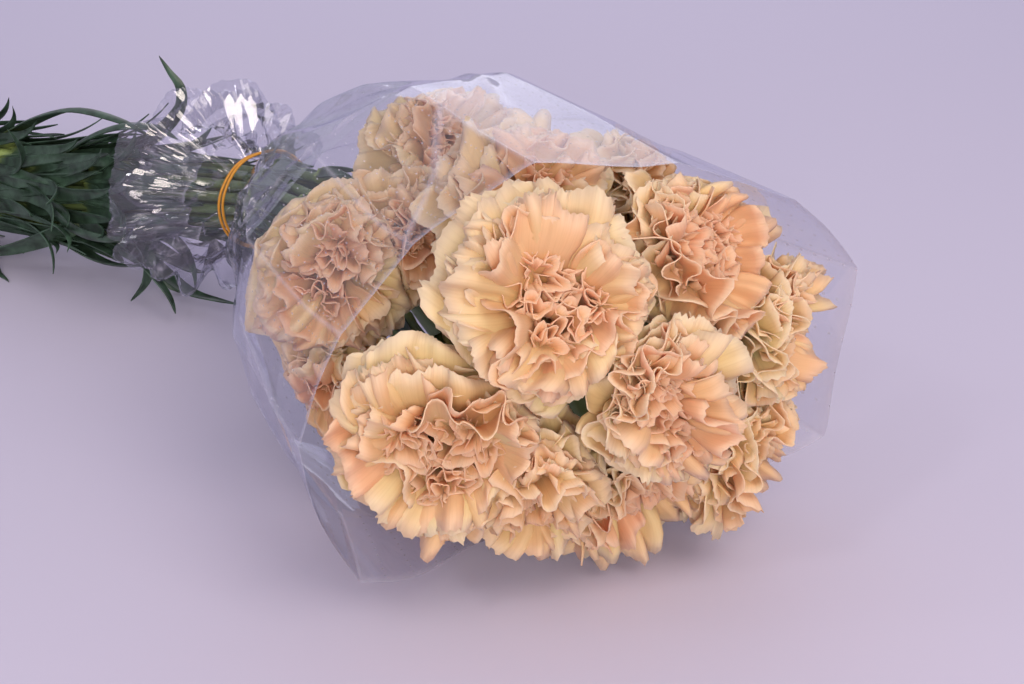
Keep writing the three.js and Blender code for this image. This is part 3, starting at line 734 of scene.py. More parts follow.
def film_angle(row, around):
    """The angle at a place round the film, 0 to 1, so that its long creases keep their places."""
    share = smooth(0.4, MOUTH_ROW, row)
    creases = WAIST_CREASES + (MOUTH_CREASES - WAIST_CREASES) * share[..., None]
    place = around % 1 * len(WAIST_CREASES)
    k = np.minimum(np.floor(place).astype(int), len(WAIST_CREASES) - 1)
    closed = np.concatenate([creases, creases[..., :1] + 360], -1)
    a = np.take_along_axis(closed, k[..., None], -1)[..., 0]
    b = np.take_along_axis(closed, k[..., None] + 1, -1)[..., 0]
    return np.radians(a), np.radians(b), place - k


def film_at(row, around, extra=0.0):
    """Points of the film at a row and a place round it, taut between its long creases."""
    row, around = np.broadcast_arrays(np.asarray(row, float), np.asarray(around, float))
    a, b, t = film_angle(row, around)
    angle = a + (b - a) * t
    rounded, corner_a, corner_b = (film_round(row, at, extra) for at in (angle, a, b))
    pane = corner_a + (corner_b - corner_a) * t[..., None]
    taut = TAUT * smooth(0.6, 2.2, row)[..., None]
    at = rounded + (pane - rounded) * taut
    at[..., 0] = rounded[..., 0]
    return at


mouth = film_at(MOUTH_ROW, np.linspace(0, 1, 24, endpoint=False))
print("the film's mouth is", np.ptp(mouth[:, 1]).round(), "mm wide")

# %% [markdown]
# ## Room for each bloom
#
# Blooms in a bunch press against each other, and their soft petals give way. Each bloom gets planes that
# its petals stay behind: half way to each neighbour, in front of other stems, above the table and inside
# the film. A point that comes near a plane is drawn in along the ray from the bloom's middle, softly, so
# that petals still lie one over the other.

# %% The room that each bloom has
HEART_DEPTH = 14  # the bloom's middle lies this far under the heart
BLOOM_REACH = 58  # what lies farther from the middle doesn't meet the petals
NEAR_SLEEVE = 80
FAR_SIDE_Y = 30  # the film beyond this stands behind the blooms that hang out
OUT_FROM_X = 14  # blooms that hang out of the sleeve stay in front of this
LEAST_ROOM = 5
FAR_OFF = 1000  # no plane in this direction
SOFT_FROM = 0.8  # the share of its room in which a bloom isn't drawn in
PETAL_GAP = 1.0  # petals keep this far from what they lean on
FILM_GAP = 3.0
FILM_FACES = 22  # round the sleeve


def middle_of(flower):
    """The middle of a bloom, under its heart."""
    return flower["heart"] - HEART_DEPTH * flower["faces"]


def film_planes():
    """The middle and the outward normal of each face of the sleeve in front of the band."""
    rows, sides = np.meshgrid(np.arange(1, MOUTH_ROW), np.arange(FILM_FACES), indexing="ij")
    corners = ((0, 0), (0, 1), (1, 1), (1, 0))
    a, b, c, d = (film_at(rows + row, (sides + side) / FILM_FACES) for row, side in corners)
    at = (a + b + c + d) / 4
    return at.reshape(-1, 3), unit(np.cross(c - a, d - b)).reshape(-1, 3)


def room_of(flower):
    """The planes round a bloom as normals and distances from its middle."""
    middle = middle_of(flower)
    points, keep = [], []
    for other in flowers:
        if other is flower:
            continue
        share = flower["size"] / (flower["size"] + other["size"])
        half_way = middle + (middle_of(other) - middle) * share
        points += [half_way[None], other["path"], other["calyx"]]
        keep += [-PETAL_GAP] + [UPPER_ROOM] * len(other["path"])
        keep += [CALYX_RADIUS + PETAL_GAP] * len(other["calyx"])
    gaps = np.vstack(points) - middle
    far = np.linalg.norm(gaps, axis=1)
    near = far < BLOOM_REACH
    normals = [gaps[near] / far[near, None], np.array([[0, 0, -1.0]])]
    reaches = [far[near] - np.array(keep)[near], np.array([middle[2] - PETAL_GAP])]
    if flower["is_out"]:
        normals.append(np.array([[-1.0, 0, 0]]))
        reaches.append(np.array([middle[0] - OUT_FROM_X]))
    at, looks = film_planes()
    held = np.linalg.norm(at - middle, axis=1) < NEAR_SLEEVE
    if flower["is_out"]:
        held &= at[:, 1] >= FAR_SIDE_Y
    normals.append(looks[held])
    reaches.append(((at[held] - middle) * looks[held]).sum(1) - FILM_GAP)
    return middle, np.vstack(normals), np.maximum(np.concatenate(reaches), LEAST_ROOM)


def squeeze(points, room):
    """The points drawn in to the bloom's room, and how much of its distance each one kept."""
    middle, normals, reaches = room
    step = points - middle
    distance = np.linalg.norm(step, axis=1)
    ray = step / distance[:, None]
    out = ray @ normals.T
    reach = np.where(out > 0.01, reaches / np.maximum(out, 0.01), FAR_OFF).min(1)
    free = SOFT_FROM * reach
    soft = np.maximum(reach - free, 1e-6)
    held = free + soft * (1 - np.exp(np.minimum(free - distance, 0) / soft))
    kept = np.where(distance > free, held / distance, 1)
    return middle + step * kept[:, None], kept


print("planes round bloom 4:", len(room_of(flowers[3])[2]))

# %% [markdown]
# ## The blooms
#
# Each bloom is built petal by petal from the guard petals to the heart. It opens a little more to one
# side than to the other, as blooms that lean on others do. The petals of one bloom are joined and given
# the thickness of a petal.

# %% Build the blooms
BLOOM_TURN = 137.5  # each bloom is turned this much from the one before
RING_TURN = 33
UNEVEN_TURN = 6  # how unevenly the petals of a ring are spaced, in degrees
PETAL_THICKNESS = 0.35
TABLE_GAP = 0.5
ONE_SIDED = 0.14  # how unevenly a bloom opens
WIDE_SIDES = {3: 40, 12: -10}  # bloom and the side that it opens to, in degrees from the top
WIDER = 0.1  # how much longer the petals are on that side
DOME = 0.012  # how fast a heart gets lower from its middle outwards
HELD_WAVES = 0.4  # the share of its waves that a squeezed petal keeps in any case
UNEVEN_START = 0.15  # how unevenly the petals of a whorl start, in radians
HEART_VARIES = 0.08  # how much a petal's colour differs from that of its ring
TINT_VARIES = 0.25  # and from that of its bloom
PINK_STEP = 2.4  # radians from bloom to bloom
PINK_FIRST = 2.2
BLOOM_SEED = 500


def pink_of(flower):
    """How pink a bloom is, from 0 to 1: no two of a bunch are quite alike."""
    return 0.5 + 0.5 * math.sin(PINK_STEP * flower["index"] + PINK_FIRST)


def place_petal(flower, blank, points, lift, heart, random):
    """One petal, drawn in to the bloom's room, lifted in waves and kept over the table."""
    points[:, :2] *= flower["size"]
    at, kept = squeeze(flower["mouth"] + points @ flower["directions"], flower["room"])
    waves = HELD_WAVES + (1 - HELD_WAVES) * kept
    at = at + (lift @ flower["directions"]) * waves[:, None]
    at[:, 2] = np.maximum(at[:, 2], TABLE_GAP)
    petal = copy_of(blanks[blank])
    set_points(petal.data, at)
    mark(petal.data, "heart", np.clip(heart + random.normal(0, HEART_VARIES), 0, 1))
    pink = pink_of(flower) + random.normal(0, TINT_VARIES)
    mark(petal.data, "tint", np.clip(pink, 0, 1))
    return petal


def ring_petals(flower, centres, random):
    """The petals of the five rings, each as an object."""
    petals = []
    wide_side = math.radians(WIDE_SIDES.get(flower["index"], random.uniform(0, 360)))
    for ring, kind in enumerate(PETAL_KINDS):
        u, s = points_of(blanks[kind["blank"]].data)[:, :2].T
        for number in range(kind["count"]):
            turn = BLOOM_TURN * flower["index"] + RING_TURN * ring + 360 * number / kind["count"]
            angle = math.radians(turn + random.normal(0, UNEVEN_TURN))
            wide = math.cos(angle - wide_side)
            opening = kind["opening"] * (1 + ONE_SIDED * wide)
            length = kind["length"] * (1 + WIDER * wide)
            points, lift = bend_petal(u, s, dict(kind, opening=opening, length=length), random)
            cos, sin = math.cos(angle), math.sin(angle)
            spin = np.array([[cos, sin, 0], [-sin, cos, 0], [0, 0, 1]])
            points, lift = points @ spin, lift @ spin
            nearest = centres[np.argmax(centres @ spin[0, :2])]
            points[:, :2] += kind["leans"] * smooth(0.1, 0.7, s)[:, None] * nearest
            petals.append(place_petal(flower, kind["blank"], points, lift, kind["heart"], random))
    return petals


def heart_petals(flower, centres, random):
    """The crumpled petals of the heart, each as an object."""
    petals = []
    whorls = WHORLS + [OUTER_WHORL] * (len(centres) == 1)
    u, s = points_of(blanks["heart"].data)[:, :2].T
    for centre in centres:
        for count, distance, round_it in whorls:
            first = random.uniform(0, FULL_TURN)
            for number in range(count):
                start = first + FULL_TURN * number / count + random.normal(0, UNEVEN_START)
                points = curl_petal(u, s, distance, round_it, start, random)
                points[:, :2] += smooth(0, 0.6, s)[:, None] * centre
                points[:, 2] -= DOME * (points[:, :2] ** 2).sum(1)
                petals.append(place_petal(flower, "heart", points, 0 * points, 1.0, random))
    return petals


def bloom_petals(flower):
    """All petals of one bloom as objects."""
    random = np.random.default_rng(BLOOM_SEED + flower["index"])
    count = HEART_CENTRES[flower["index"]]
    turn = random.uniform(0, FULL_TURN) + FULL_TURN * np.arange(count) / count
    spread = HEART_SPREAD * (count > 1)
    centres = spread * np.stack([np.cos(turn), np.sin(turn)], -1)
    flower["room"] = room_of(flower)
    return ring_petals(flower, centres, random) + heart_petals(flower, centres, random)


for flower in flowers:
    bloom = join(bloom_petals(flower), "petals_" + flower["number"])
    apply_modifier(bloom, "SOLIDIFY", thickness=PETAL_THICKNESS * MM, offset=0)
    bpy.ops.object.shade_smooth()
    finish_piece(bloom, "bloom_" + flower["number"], petal_skin)
for blank in blanks.values():
    bpy.data.objects.remove(blank)
print("faces of bloom 20:", len(bloom.data.polygons))

# %% [markdown]
# ## Stem and leaf material
#
# Carnation leaves and stems are dark green under a coat of wax that wipes off. The wax scatters light,
# so the green looks greyish and bluish, and satin rather than glossy. The swollen nodes are yellower.

# %% Stem and leaf material
WAX_PATCH_MM = 9  # patches where the wax is rubbed thinner


def stem_material():
    material, add = new_material("waxy_carnation_green")
    place = add("TexCoord").outputs["Object"]
    rubbed = {"Scale": 1 / (WAX_PATCH_MM * MM), "Detail": 4.0, "Roughness": 0.6}
    patches = add("TexNoise", {"Vector": place, **rubbed})
    wax = add("MapRange", {"Value": patches, "From Min": 0.35, "From Max": 0.7})
    swollen = add("Attribute", attribute_name="swollen").outputs["Fac"]
    green = add("Mix", {0: wax, 6: srgb("#1E2E22"), 7: srgb("#486250")}, data_type="RGBA")
    green = add("Mix", {0: swollen, 6: green, 7: srgb("#93A55C")}, data_type="RGBA")
    bump = add("Bump", {"Strength": 0.3, "Distance": 0.0003, "Height": patches})
    skin = add("BsdfPrincipled", {"Base Color": green, "Roughness": 0.42, "Normal": bump})
    add("OutputMaterial", {"Surface": skin})
    return material


waxy_green = stem_material()
print("made", waxy_green.name)

# %% [markdown]
# ## A leaf
#
# The leaves are narrow, thick blades that clasp the stem in pairs at each swollen node. A leaf is
# channelled along its middle and runs out into a long point, and no two leave the bunch alike: one lies
# along the stems, another arches out and curls at its tip. One flat blank is bent along each leaf's
# line, which rises from its stem, turns away from the bunch and twists.

# %% Leaves
LEAF_NODES = [(-512, 7, 84), (-434, 6, 88), (-362, 6, 80)]  # x, step from stem to stem, length
# Between them, and with how far the leaves rise at most.
FLAT_NODES = [(-476, 5, 70, 12), (-398, 6, 78, 16), (-334, 6, 72, 34), (-306, 4, 52, 26)]
LEAF_END_X = -252  # the leaves end in front of the sleeve's collar
COLLAR_LEAF = (-284, -226)  # the leaves that pass through the collar lie close to their stems
INNER_NODE_X = -452
NODE_SHIFT = 15  # how far a node may lie from its place in the row, in mm
UPPER_NODES = (0.12, 0.42, 0.68)  # places of the leaf pairs between the band and the calyx
LEAF_TURN = math.radians(6.5)
LEAF_WIDTH = 10
# Leaves given one by one: flower, width, and the leaf's line as x, distance and degrees round the axis.
PLACED_LEAVES = [
    (9, 8, [(-292, 18, 84), (-270, 30, 88), (-257, 42, 90), (-254, 52, 91), (-258, 60, 92), (-263, 68, 92)]),
    (14, 11, [(-300, 18, 238), (-282, 23, 243), (-268, 32, 247), (-267, 44, 250), (-273, 55, 250)]),
    (14, 12, [(-302, 18, 221), (-324, 31, 225), (-352, 40, 228), (-392, 42, 229)]),
    (16, 10, [(-300, 20, 262), (-276, 36, 264), (-257, 50, 267), (-241, 54, 269), (-226, 54, 267)]),
    (17, 10, [(-330, 20, 306), (-306, 34, 300), (-284, 42, 292), (-268, 44, 284), (-256, 42, 278)]),
    (15, 12, [(-336, 19, 250), (-316, 30, 252), (-296, 37, 254), (-277, 37, 256), (-262, 33, 257)]),
    (14, 10, [(-318, 19, 196), (-300, 29, 200), (-284, 34, 206), (-270, 33, 212), (-258, 28, 216)]),
    (15, 9, [(-296, 20, 236), (-276, 30, 240), (-258, 42, 242), (-244, 52, 243), (-236, 60, 243)]),
    (10, 11, [(-322, 20, 108), (-302, 31, 106), (-282, 37, 104), (-265, 35, 100), (-255, 28, 97)]),
    (9, 12, [(-372, 24, 84), (-344, 37, 86), (-318, 42, 88), (-292, 37, 90), (-274, 29, 92)]),
]
LEAF_THICKNESS = 0.6
CHANNEL = 1.5  # how deep a leaf's channel is
PALE_FOOT = 0.14  # the share of a leaf that is as pale as its node
# What varies from leaf to leaf: shares of the length and the width, and degrees, mm and radians.
LEAF_LENGTHS = (0.7, 1.3)
LEAF_WIDTHS = (0.8, 1.15)
LEAF_LIFTS = (0.2, 1.1)
LEAF_SWAY = 22
LEAF_CURLS = (-15, 16)
LEAF_TWIST = 1.6
FLAT_LIFTS = (0.15, 1)
LEAF_RISE = 6  # how far each leaf rises from its stem at least, in mm
LEAF_BOW = 0.12  # the share of its length that a leaf loses as it arches
NODE_LIFTS = (6, 32)
FLAT_GROWN = 0.85  # the share of the leaves between the nodes that have grown
# The short leaves that lie along their stems.
SMALL_WIDTHS = (5, 8)
SMALL_OFF = 3.4  # from the stem's middle
SMALL_RISE = 1.6  # and this much more at the tip
SMALL_HOLLOW = 0.5
SMALL_LEAN = 0.9  # how far the two of a pair lean apart
SMALL_POINTS = 8  # points of the stem that such a leaf follows
INNER_LEAF = 0.18  # its length on the inner stems, as a share of the way to the band
# How pale and yellow the green is, where 1 is a swollen node.
FOOT_PALE = 0.9  # a leaf's foot
STEM_PALE = 0.3
CALYX_PALE = 0.45
LEAF_SEED = 900

leaf_blank = flat_grid("leaf_blank", 6, 18)
LEAF_ACROSS, LEAF_ALONG = points_of(leaf_blank.data)[:, :2].T
mark(leaf_blank.data, "swollen", FOOT_PALE * smooth(PALE_FOOT, 0, LEAF_ALONG))


def even_draws(seed):
    """Draws from 0 to 1, by a plain rule, because the solids' leaves have the same ones."""
    while True:
        seed = seed * 16807 % 2147483647
        yield seed / 2147483647


def node_x(node, flower):
    """Where a stem has its leaf node: near its place in the row."""
    random = np.random.default_rng(int(-node[0]) + 31 * flower["index"])
    return node[0] + node[1] * (flower["slot"] % 3) + random.uniform(-NODE_SHIFT, NODE_SHIFT)


def lower_at_x(flower, x):
    """The stem's place, from 0 to 1, where it passes x."""
    return (x - flower["tail_x"]) / (BAND_X - flower["tail_x"])


def leaf_width(t):
    """A leaf's width along it, as a share of the widest."""
    return (0.75 + 0.25 * smooth(0, 0.25, t)) * np.clip(1 - t**1.6, 0, 1) ** 0.9


def beside_at(angle):
    """The direction round the axis at an angle."""
    return np.stack([0 * angle, -np.sin(angle), np.cos(angle)], -1)


def leaf_from(points):
    """A leaf with the given points. What would pass through the table is drawn in towards the axis."""
    middle = axis_at(points[:, 0])
    low = points[:, 2] < LEAF_THICKNESS
    share = (middle[:, 2] - LEAF_THICKNESS) / np.maximum(middle[:, 2] - points[:, 2], 1e-6)
    leaf = copy_of(leaf_blank)
    set_points(leaf.data, np.where(low[:, None], middle + (points - middle) * share[:, None], points))
    return leaf


def outer_leaf(flower, x, side, length, lift, random):
    """A leaf on the outside of the bunch."""
    c, t = LEAF_ACROSS, LEAF_ALONG
    out = flower["lower"](lower_at_x(flower, x)) - axis_at(x)
    length = min(length * random.uniform(*LEAF_LENGTHS), (LEAF_END_X - x) / (1 - LEAF_BOW))
    width = LEAF_WIDTH * random.uniform(*LEAF_WIDTHS) * leaf_width(t)
    sway = math.radians(random.uniform(-LEAF_SWAY, LEAF_SWAY)) * t**2
    curl = random.uniform(*LEAF_CURLS) * t**4
    twist = random.uniform(-LEAF_TWIST, LEAF_TWIST) * t**1.5
    rise = LEAF_RISE * np.sqrt(t) + lift * random.uniform(*LEAF_LIFTS) * t * t
    angle = math.atan2(out[2], out[1]) + side * LEAF_TURN * np.minimum(1, t * 2.2) + sway
    distance = np.linalg.norm(out) + rise + curl
    points = round_axis(x + length * (t - LEAF_BOW * t**4), distance, angle)
    beside = beside_at(angle)
    outward = beside_at(angle - math.pi / 2)
    turned = beside * np.cos(twist)[:, None] + outward * np.sin(twist)[:, None]
    folded = outward * np.cos(twist)[:, None] - beside * np.sin(twist)[:, None]
    points = points + turned * (c * width / 2)[:, None]
    return leaf_from(points + folded * (CHANNEL * c**2 * width / LEAF_WIDTH)[:, None])


def hugging_pair(line, widths):
    """Two short leaves along a stretch of their stem, given as the stretch's points."""
    c, t = LEAF_ACROSS, LEAF_ALONG
    place = t * (len(line) - 1)
    ahead = through(line, np.minimum(place + 0.1, len(line) - 1))
    along = unit(ahead - through(line, np.maximum(place - 0.1, 0)))
    outward = unit((line[0] - axis_at(line[0][0])) * np.array([0, 1, 1]) + np.array([0, 1e-3, 1e-3]))
    off = SMALL_OFF + SMALL_RISE * t + SMALL_HOLLOW * c**2
    pair = []
    for side, width in zip((-1, 1), widths):
        lean = unit(outward + side * SMALL_LEAN * unit(np.cross(along, outward)))
        across = unit(np.cross(lean, along)) * (c * width / 2 * leaf_width(t))[:, None]
        pair.append(leaf_from(through(line, place) + lean * off[:, None] + across))
    return pair


def placed_leaf(line, width):
    """A leaf along a given line."""
    c, t = LEAF_ACROSS, LEAF_ALONG

    def on_line(t):
        """The line's points and their angles at places from 0 to 1."""
        x, distance, angle = through(np.array(line, float), t * (len(line) - 1)).T
        return round_axis(x, distance, np.radians(angle)), np.radians(angle)

    at, angle = on_line(t)
    before, angle = on_line(t - 0.02)
    along = unit(at - before)
    beside = beside_at(angle)
    across = unit(beside - (beside * along).sum(1)[:, None] * along)
    over = np.cross(along, across)
    wide = width * leaf_width(t)
    at = at + across * (c * wide / 2)[:, None]
    return leaf_from(at + over * (CHANNEL * c**2 * wide / LEAF_WIDTH)[:, None])


def ring_leaves(flower, random):
    """The leaves of a stem in the outer ring: at its nodes, between them and through the collar."""
    draw = even_draws(71 + 13 * flower["index"])
    leaves = []
    for node in LEAF_NODES:
        for side in (-1, 1):
            lift = NODE_LIFTS[0] + (NODE_LIFTS[1] - NODE_LIFTS[0]) * next(draw)
            leaves.append(outer_leaf(flower, node_x(node, flower), side, node[2], lift, random))
    for node in FLAT_NODES:
        for side in (-1, 1):
            lift = random.uniform(*FLAT_LIFTS) * node[3]
            if random.uniform(0, 1) < FLAT_GROWN:
                leaves.append(outer_leaf(flower, node_x(node, flower), side, node[2], lift, random))
    first, last = (lower_at_x(flower, x) for x in COLLAR_LEAF)
    line = flower["lower"](np.linspace(first, last, SMALL_POINTS))
    return leaves + hugging_pair(line, random.uniform(*SMALL_WIDTHS, 2))


def leaves_of(flower):
    """All leaves of one stem, as objects."""
    random = np.random.default_rng(LEAF_SEED + flower["index"])
    leaves = ring_leaves(flower, random) if flower["ring"] == 2 else []
    for owner, width, line in PLACED_LEAVES:
        if owner == flower["index"]:
            leaves.append(placed_leaf(line, width))
    if flower["ring"] == 1:
        t = lower_at_x(flower, INNER_NODE_X)
        line = flower["lower"](np.linspace(t, t + INNER_LEAF, SMALL_POINTS))
        leaves += hugging_pair(line, (SMALL_WIDTHS[0], SMALL_WIDTHS[0]))
    for place in UPPER_NODES:
        first = int(place * UPPER_STEPS)
        line = flower["path"][first : first + SMALL_POINTS]
        leaves += hugging_pair(line, random.uniform(*SMALL_WIDTHS, 2))
    return leaves


print("a leaf blank has", len(leaf_blank.data.polygons), "faces")

# %% [markdown]
# ## The calyx
#
# Under the petals sits the calyx, a green tube that ends in five pointed teeth. It starts as a circle of
# twenty points that is extruded and widened ring by ring. For the teeth, every fourth point of the last
# ring is pulled out and its neighbours stay back. It is modelled once, upright at the origin, and each
# copy is turned to face as its bloom does.

# %% Calyx
CALYX_RINGS = [(2.6, 0), (4.6, 2.2), (5.6, 5), (6.1, 12), (6.5, 19), (6.9, 24), (7.5, 27.5)]
TOOTH_UP = 3.2  # how much farther a tooth's tip lies up
TOOTH_OUT = 2.6  # and out
BACK_UP = 0.6  # how far the rim stays back between the teeth, as shares of those
BACK_OUT = 0.4
CALYX_TEETH = 5
CALYX_SIDES = 20
CALYX_WALL = 0.5


def make_calyx():
    """The calyx, upright, with its foot at the origin."""
    radius, height = CALYX_RINGS[0]
    bpy.ops.mesh.primitive_circle_add(vertices=CALYX_SIDES, radius=radius * MM, fill_type="NGON")
    calyx = bpy.context.object
    bpy.ops.object.mode_set(mode="EDIT")
    bpy.ops.mesh.select_all(action="SELECT")
    bpy.ops.mesh.flip_normals()
    bpy.ops.mesh.select_mode(type="EDGE")
    bpy.ops.mesh.select_all(action="SELECT")
    for (radius, height), (wider, higher) in zip(CALYX_RINGS, CALYX_RINGS[1:]):
        bpy.ops.mesh.extrude_edges_move(
            TRANSFORM_OT_translate={"value": (0, 0, (higher - height) * MM)}
        )
        share = wider / radius
        bpy.ops.transform.resize(value=(share, share, 1), center_override=(0, 0, 0))
    bpy.ops.object.mode_set(mode="OBJECT")
    points = points_of(calyx.data) / MM
    top = points[:, 2] > CALYX_RINGS[-1][1] - 0.1
    turn = np.arctan2(points[:, 1], points[:, 0]) * CALYX_TEETH
    tooth = np.where(top, 0.5 * (1 + np.cos(turn)), 0)
    radial = unit(points[:, :2] + 1e-9)
    points[:, :2] += radial * (TOOTH_OUT * (tooth - BACK_OUT * top))[:, None]
    points[:, 2] += TOOTH_UP * (tooth - BACK_UP * top)
    set_points(calyx.data, points)
    apply_modifier(calyx, "SOLIDIFY", thickness=CALYX_WALL * MM, offset=-1)
    return calyx


calyx_blank = make_calyx()
print("the calyx has", len(calyx_blank.data.polygons), "faces")

# %% [markdown]
# ## Leafy stems
#
# A stem is a curve with a round bevel, so that each point of the curve can have its own thickness: a
# little less towards the bloom, and swollen at each pair of leaves. The curve becomes a mesh and is
# joined with its leaves and its calyx into one piece.

# %% Build the leafy stems
STEM_RADIUS = 2.7  # at the cut end
NECK_RADIUS = 2.2  # below the calyx
NODE_RADIUS = 3.5
NODE_LENGTH = 4.5  # how far along the stem a node swells
UPPER_NODE_LENGTH = 0.02  # and between the band and the calyx, as a share of the way
NEAR_NODE = (-8, -5, -2.5, 0, 2.5, 5, 8)  # points of a stem round a node
LOWER_POINTS = 26  # and evenly from the cut end to the band
STEM_SHARP = 50  # degrees: edges sharper than this aren't smoothed over


def swelling(places, nodes, length):
    """How swollen a stem is at each place, from its distance to the nearest node."""
    gaps = np.abs(places[:, None] - np.array(nodes)).min(1)
    return np.exp(-(gaps**2) / length**2)


def stem_tube(flower):
    """The stem as a mesh object, thinner towards the bloom and swollen at its nodes."""
    nodes = [INNER_NODE_X]
    if flower["ring"] == 2:
        nodes = [node_x(node, flower) for node in LEAF_NODES]
    near_nodes = [lower_at_x(flower, x + off) for x in nodes for off in NEAR_NODE]
    t = np.unique(np.concatenate([np.linspace(0, 1, LOWER_POINTS), near_nodes]))
    lower, upper = flower["lower"](t), flower["path"][1:]
    steps = np.arange(1, len(upper) + 1) / UPPER_STEPS
    swell = swelling(lower[:, 0], nodes, NODE_LENGTH)
    swollen = np.concatenate([swell, swelling(steps, UPPER_NODES, UPPER_NODE_LENGTH)])
    thin = np.concatenate([t / 2, 0.5 + steps / 2])
    radius = STEM_RADIUS + (NECK_RADIUS - STEM_RADIUS) * thin
    points = np.vstack([lower, upper])
    tube = tube_along("stem", points, radius + (NODE_RADIUS - radius) * swollen, closed=False)
    at = points_of(tube.data) / MM
    nearest = np.argmin(((at[:, None] - points) ** 2).sum(2), axis=1)
    mark(tube.data, "swollen", STEM_PALE + (1 - STEM_PALE) * swollen[nearest])
    return tube


for flower in flowers:
    stem = stem_tube(flower)
    leaves = join(leaves_of(flower), "leaves_" + flower["number"])
    apply_modifier(leaves, "SOLIDIFY", thickness=LEAF_THICKNESS * MM, offset=0)
    calyx = copy_of(calyx_blank)
    turn = Vector(flower["faces"]).to_track_quat("Z", "Y").to_matrix().to_4x4()
    calyx.data.transform(Matrix.Translation(Vector(flower["base"] * MM)) @ turn)
    mark(calyx.data, "swollen", CALYX_PALE)
    leafy = join([stem, leaves, calyx], "leafy_stem_" + flower["number"])
    select_only(leafy)
    bpy.ops.object.shade_smooth_by_angle(angle=math.radians(STEM_SHARP))
    finish_piece(leafy, "stem_" + flower["number"], waxy_green)
for blank in (leaf_blank, calyx_blank):
    bpy.data.objects.remove(blank)
print("faces of stem 20:", len(leafy.data.polygons))

# %% [markdown]
# ## Film material
#
# The sleeve is clear polypropylene film a few hundredths of a millimetre thick. It has next to no colour
# of its own. What shows is gloss, which is much stronger where the film is seen at a slant, and a faint
# whitish veil from fine scratches. So most of it is a Transparent shader, and a Layer Weight node mixes
# in the gloss. Along its creases and its cut edge a stronger whitish veil is painted in as highlight,
# for the bright lines that these catch. Rows of tiny vent holes keep the blooms from getting damp, and
# each shows as a small bright ring.

# %% Film material
VENT_PITCH_MM = np.array([11, 4, 0])  # from row to row, and along a row of vents
VENT_RADIUS_MM = 0.45
GLOSS_STEEP = 5.0  # how suddenly the gloss grows towards a slant
GLOSS_GROWS = 0.75
GLOSS_LEAST = 0.035  # straight on
VENT_AND_GLINT_VEIL = 0.2  # how whitish the film is at the vents and where a highlight is painted along creases and the cut edge
MILKY_LEAST = 0.015  # and anywhere


def film_material():
    material, add = new_material("clear_polypropylene_film")
    clear = add("BsdfTransparent", {"Color": srgb("#FBFBFD")})
    veil = add("BsdfDiffuse", {"Color": srgb("#DCD8EA")})
    gloss = add("BsdfAnisotropic", {"Color": srgb("#F6F7FC"), "Roughness": 0.05})
    slant = add("LayerWeight", {"Blend": 0.5}).outputs["Facing"]
    steep = add("Math", {0: slant, 1: GLOSS_STEEP}, operation="POWER")
    shine = add("Math", {0: steep, 1: GLOSS_GROWS, 2: GLOSS_LEAST}, operation="MULTIPLY_ADD")

    # From metres on the sheet to cells with a vent each, and to millimetres from the vent's middle.
    from_vent = add("UVMap", uv_map="sheet")
    for operation, values in (
        ("MULTIPLY", 1000 / np.array([*VENT_PITCH_MM[:2], 1000])),
        ("FRACTION", (0, 0, 0)),
        ("SUBTRACT", (0.5, 0.5, 0)),
        ("MULTIPLY", VENT_PITCH_MM),
    ):
        from_vent = add("VectorMath", {0: from_vent, 1: values}, operation=operation)
    distance = add("VectorMath", {0: from_vent}, operation="LENGTH")
    vent = add("Math", {0: distance, 1: VENT_RADIUS_MM}, operation="LESS_THAN")
    # The stretched attribute holds painted highlights along the creases, buckles and cut edge.
    white = add("Attribute", attribute_name="stretched").outputs["Fac"]
    vented = add("Attribute", attribute_name="vented").outputs["Fac"]
    whitish = add("Math", {0: vent, 1: vented, 2: white}, operation="MULTIPLY_ADD")
    # The veil: the faint real haze everywhere, and more at the vents and the painted highlights.
    haze_and_glint = add("Math", {0: whitish, 1: VENT_AND_GLINT_VEIL, 2: MILKY_LEAST}, operation="MULTIPLY_ADD")
    hazy = add("MixShader", {0: haze_and_glint, 1: clear, 2: veil})
    both = add("MixShader", {0: shine, 1: hazy, 2: gloss})
    add("OutputMaterial", {"Surface": both})
    return material


clear_film = film_material()
print("made", clear_film.name)

# %% [markdown]
# ## The sleeve
#
# The sleeve starts as a flat sheet, as it came off the roll, and is rolled into a tube along its
# sections. The sheet's columns follow the long creases. Shorter buckles cross the panes near the
# shoulder, and behind the band the film is crumpled: many folds in many directions, with a sharp
# valley wherever one ends.

# %% Build the sleeve
FILM_THICKNESS = 0.12
FILM_AROUND = 352  # a whole number of columns in each of the eleven panes
FILM_ALONG = 118
COLLAR_SHARE = 0.36  # of the sheet's rows of faces lie behind the waist
WAIST_ROW = 0.3
# Buckles, given one by one: row and degrees where each starts, and where it ends, its height, its
# half-width.
BUCKLES = [
    (2.9, 99, 2.55, 170, 1.6, 0.05),
    (1.9, 128, 2.55, 170, 1.3, 0.04),
    (3.5, 100, 4.9, 132, 1.2, 0.05),
    (2.5, 72, 3.8, 88, 1.2, 0.05),
    (3.1, 178, 4.6, 196, 1.2, 0.05),
    (1.6, 150, 2.6, 182, 1.2, 0.04),
    (2.2, 196, 3.9, 208, 1.2, 0.05),
]
ROW_DEGREES = 60  # a row is about as long as this many degrees of the film
CRUMPLES = 12
CRUMPLE_HEIGHT = 2.6
CRUMPLE_HEIGHTS = (0.4, 1)  # as shares
IN_FRONT = 0.3  # how high the crumples go on in front of the band
SLACK = 0.45  # the height of the wide waves near the mouth
WHITE_CRUMPLES = 3  # the sharpest, with a highlight painted along their valleys
FLAP = (-1.5, 73, 9)  # a pointed fold over the collar: row, degrees, height
FLAP_SIZE = (0.9, 11)  # rows and degrees from its point to its foot
CREASE_WIDTH = 0.035  # how far the painted highlight reaches beside a long crease, as a share of a pane
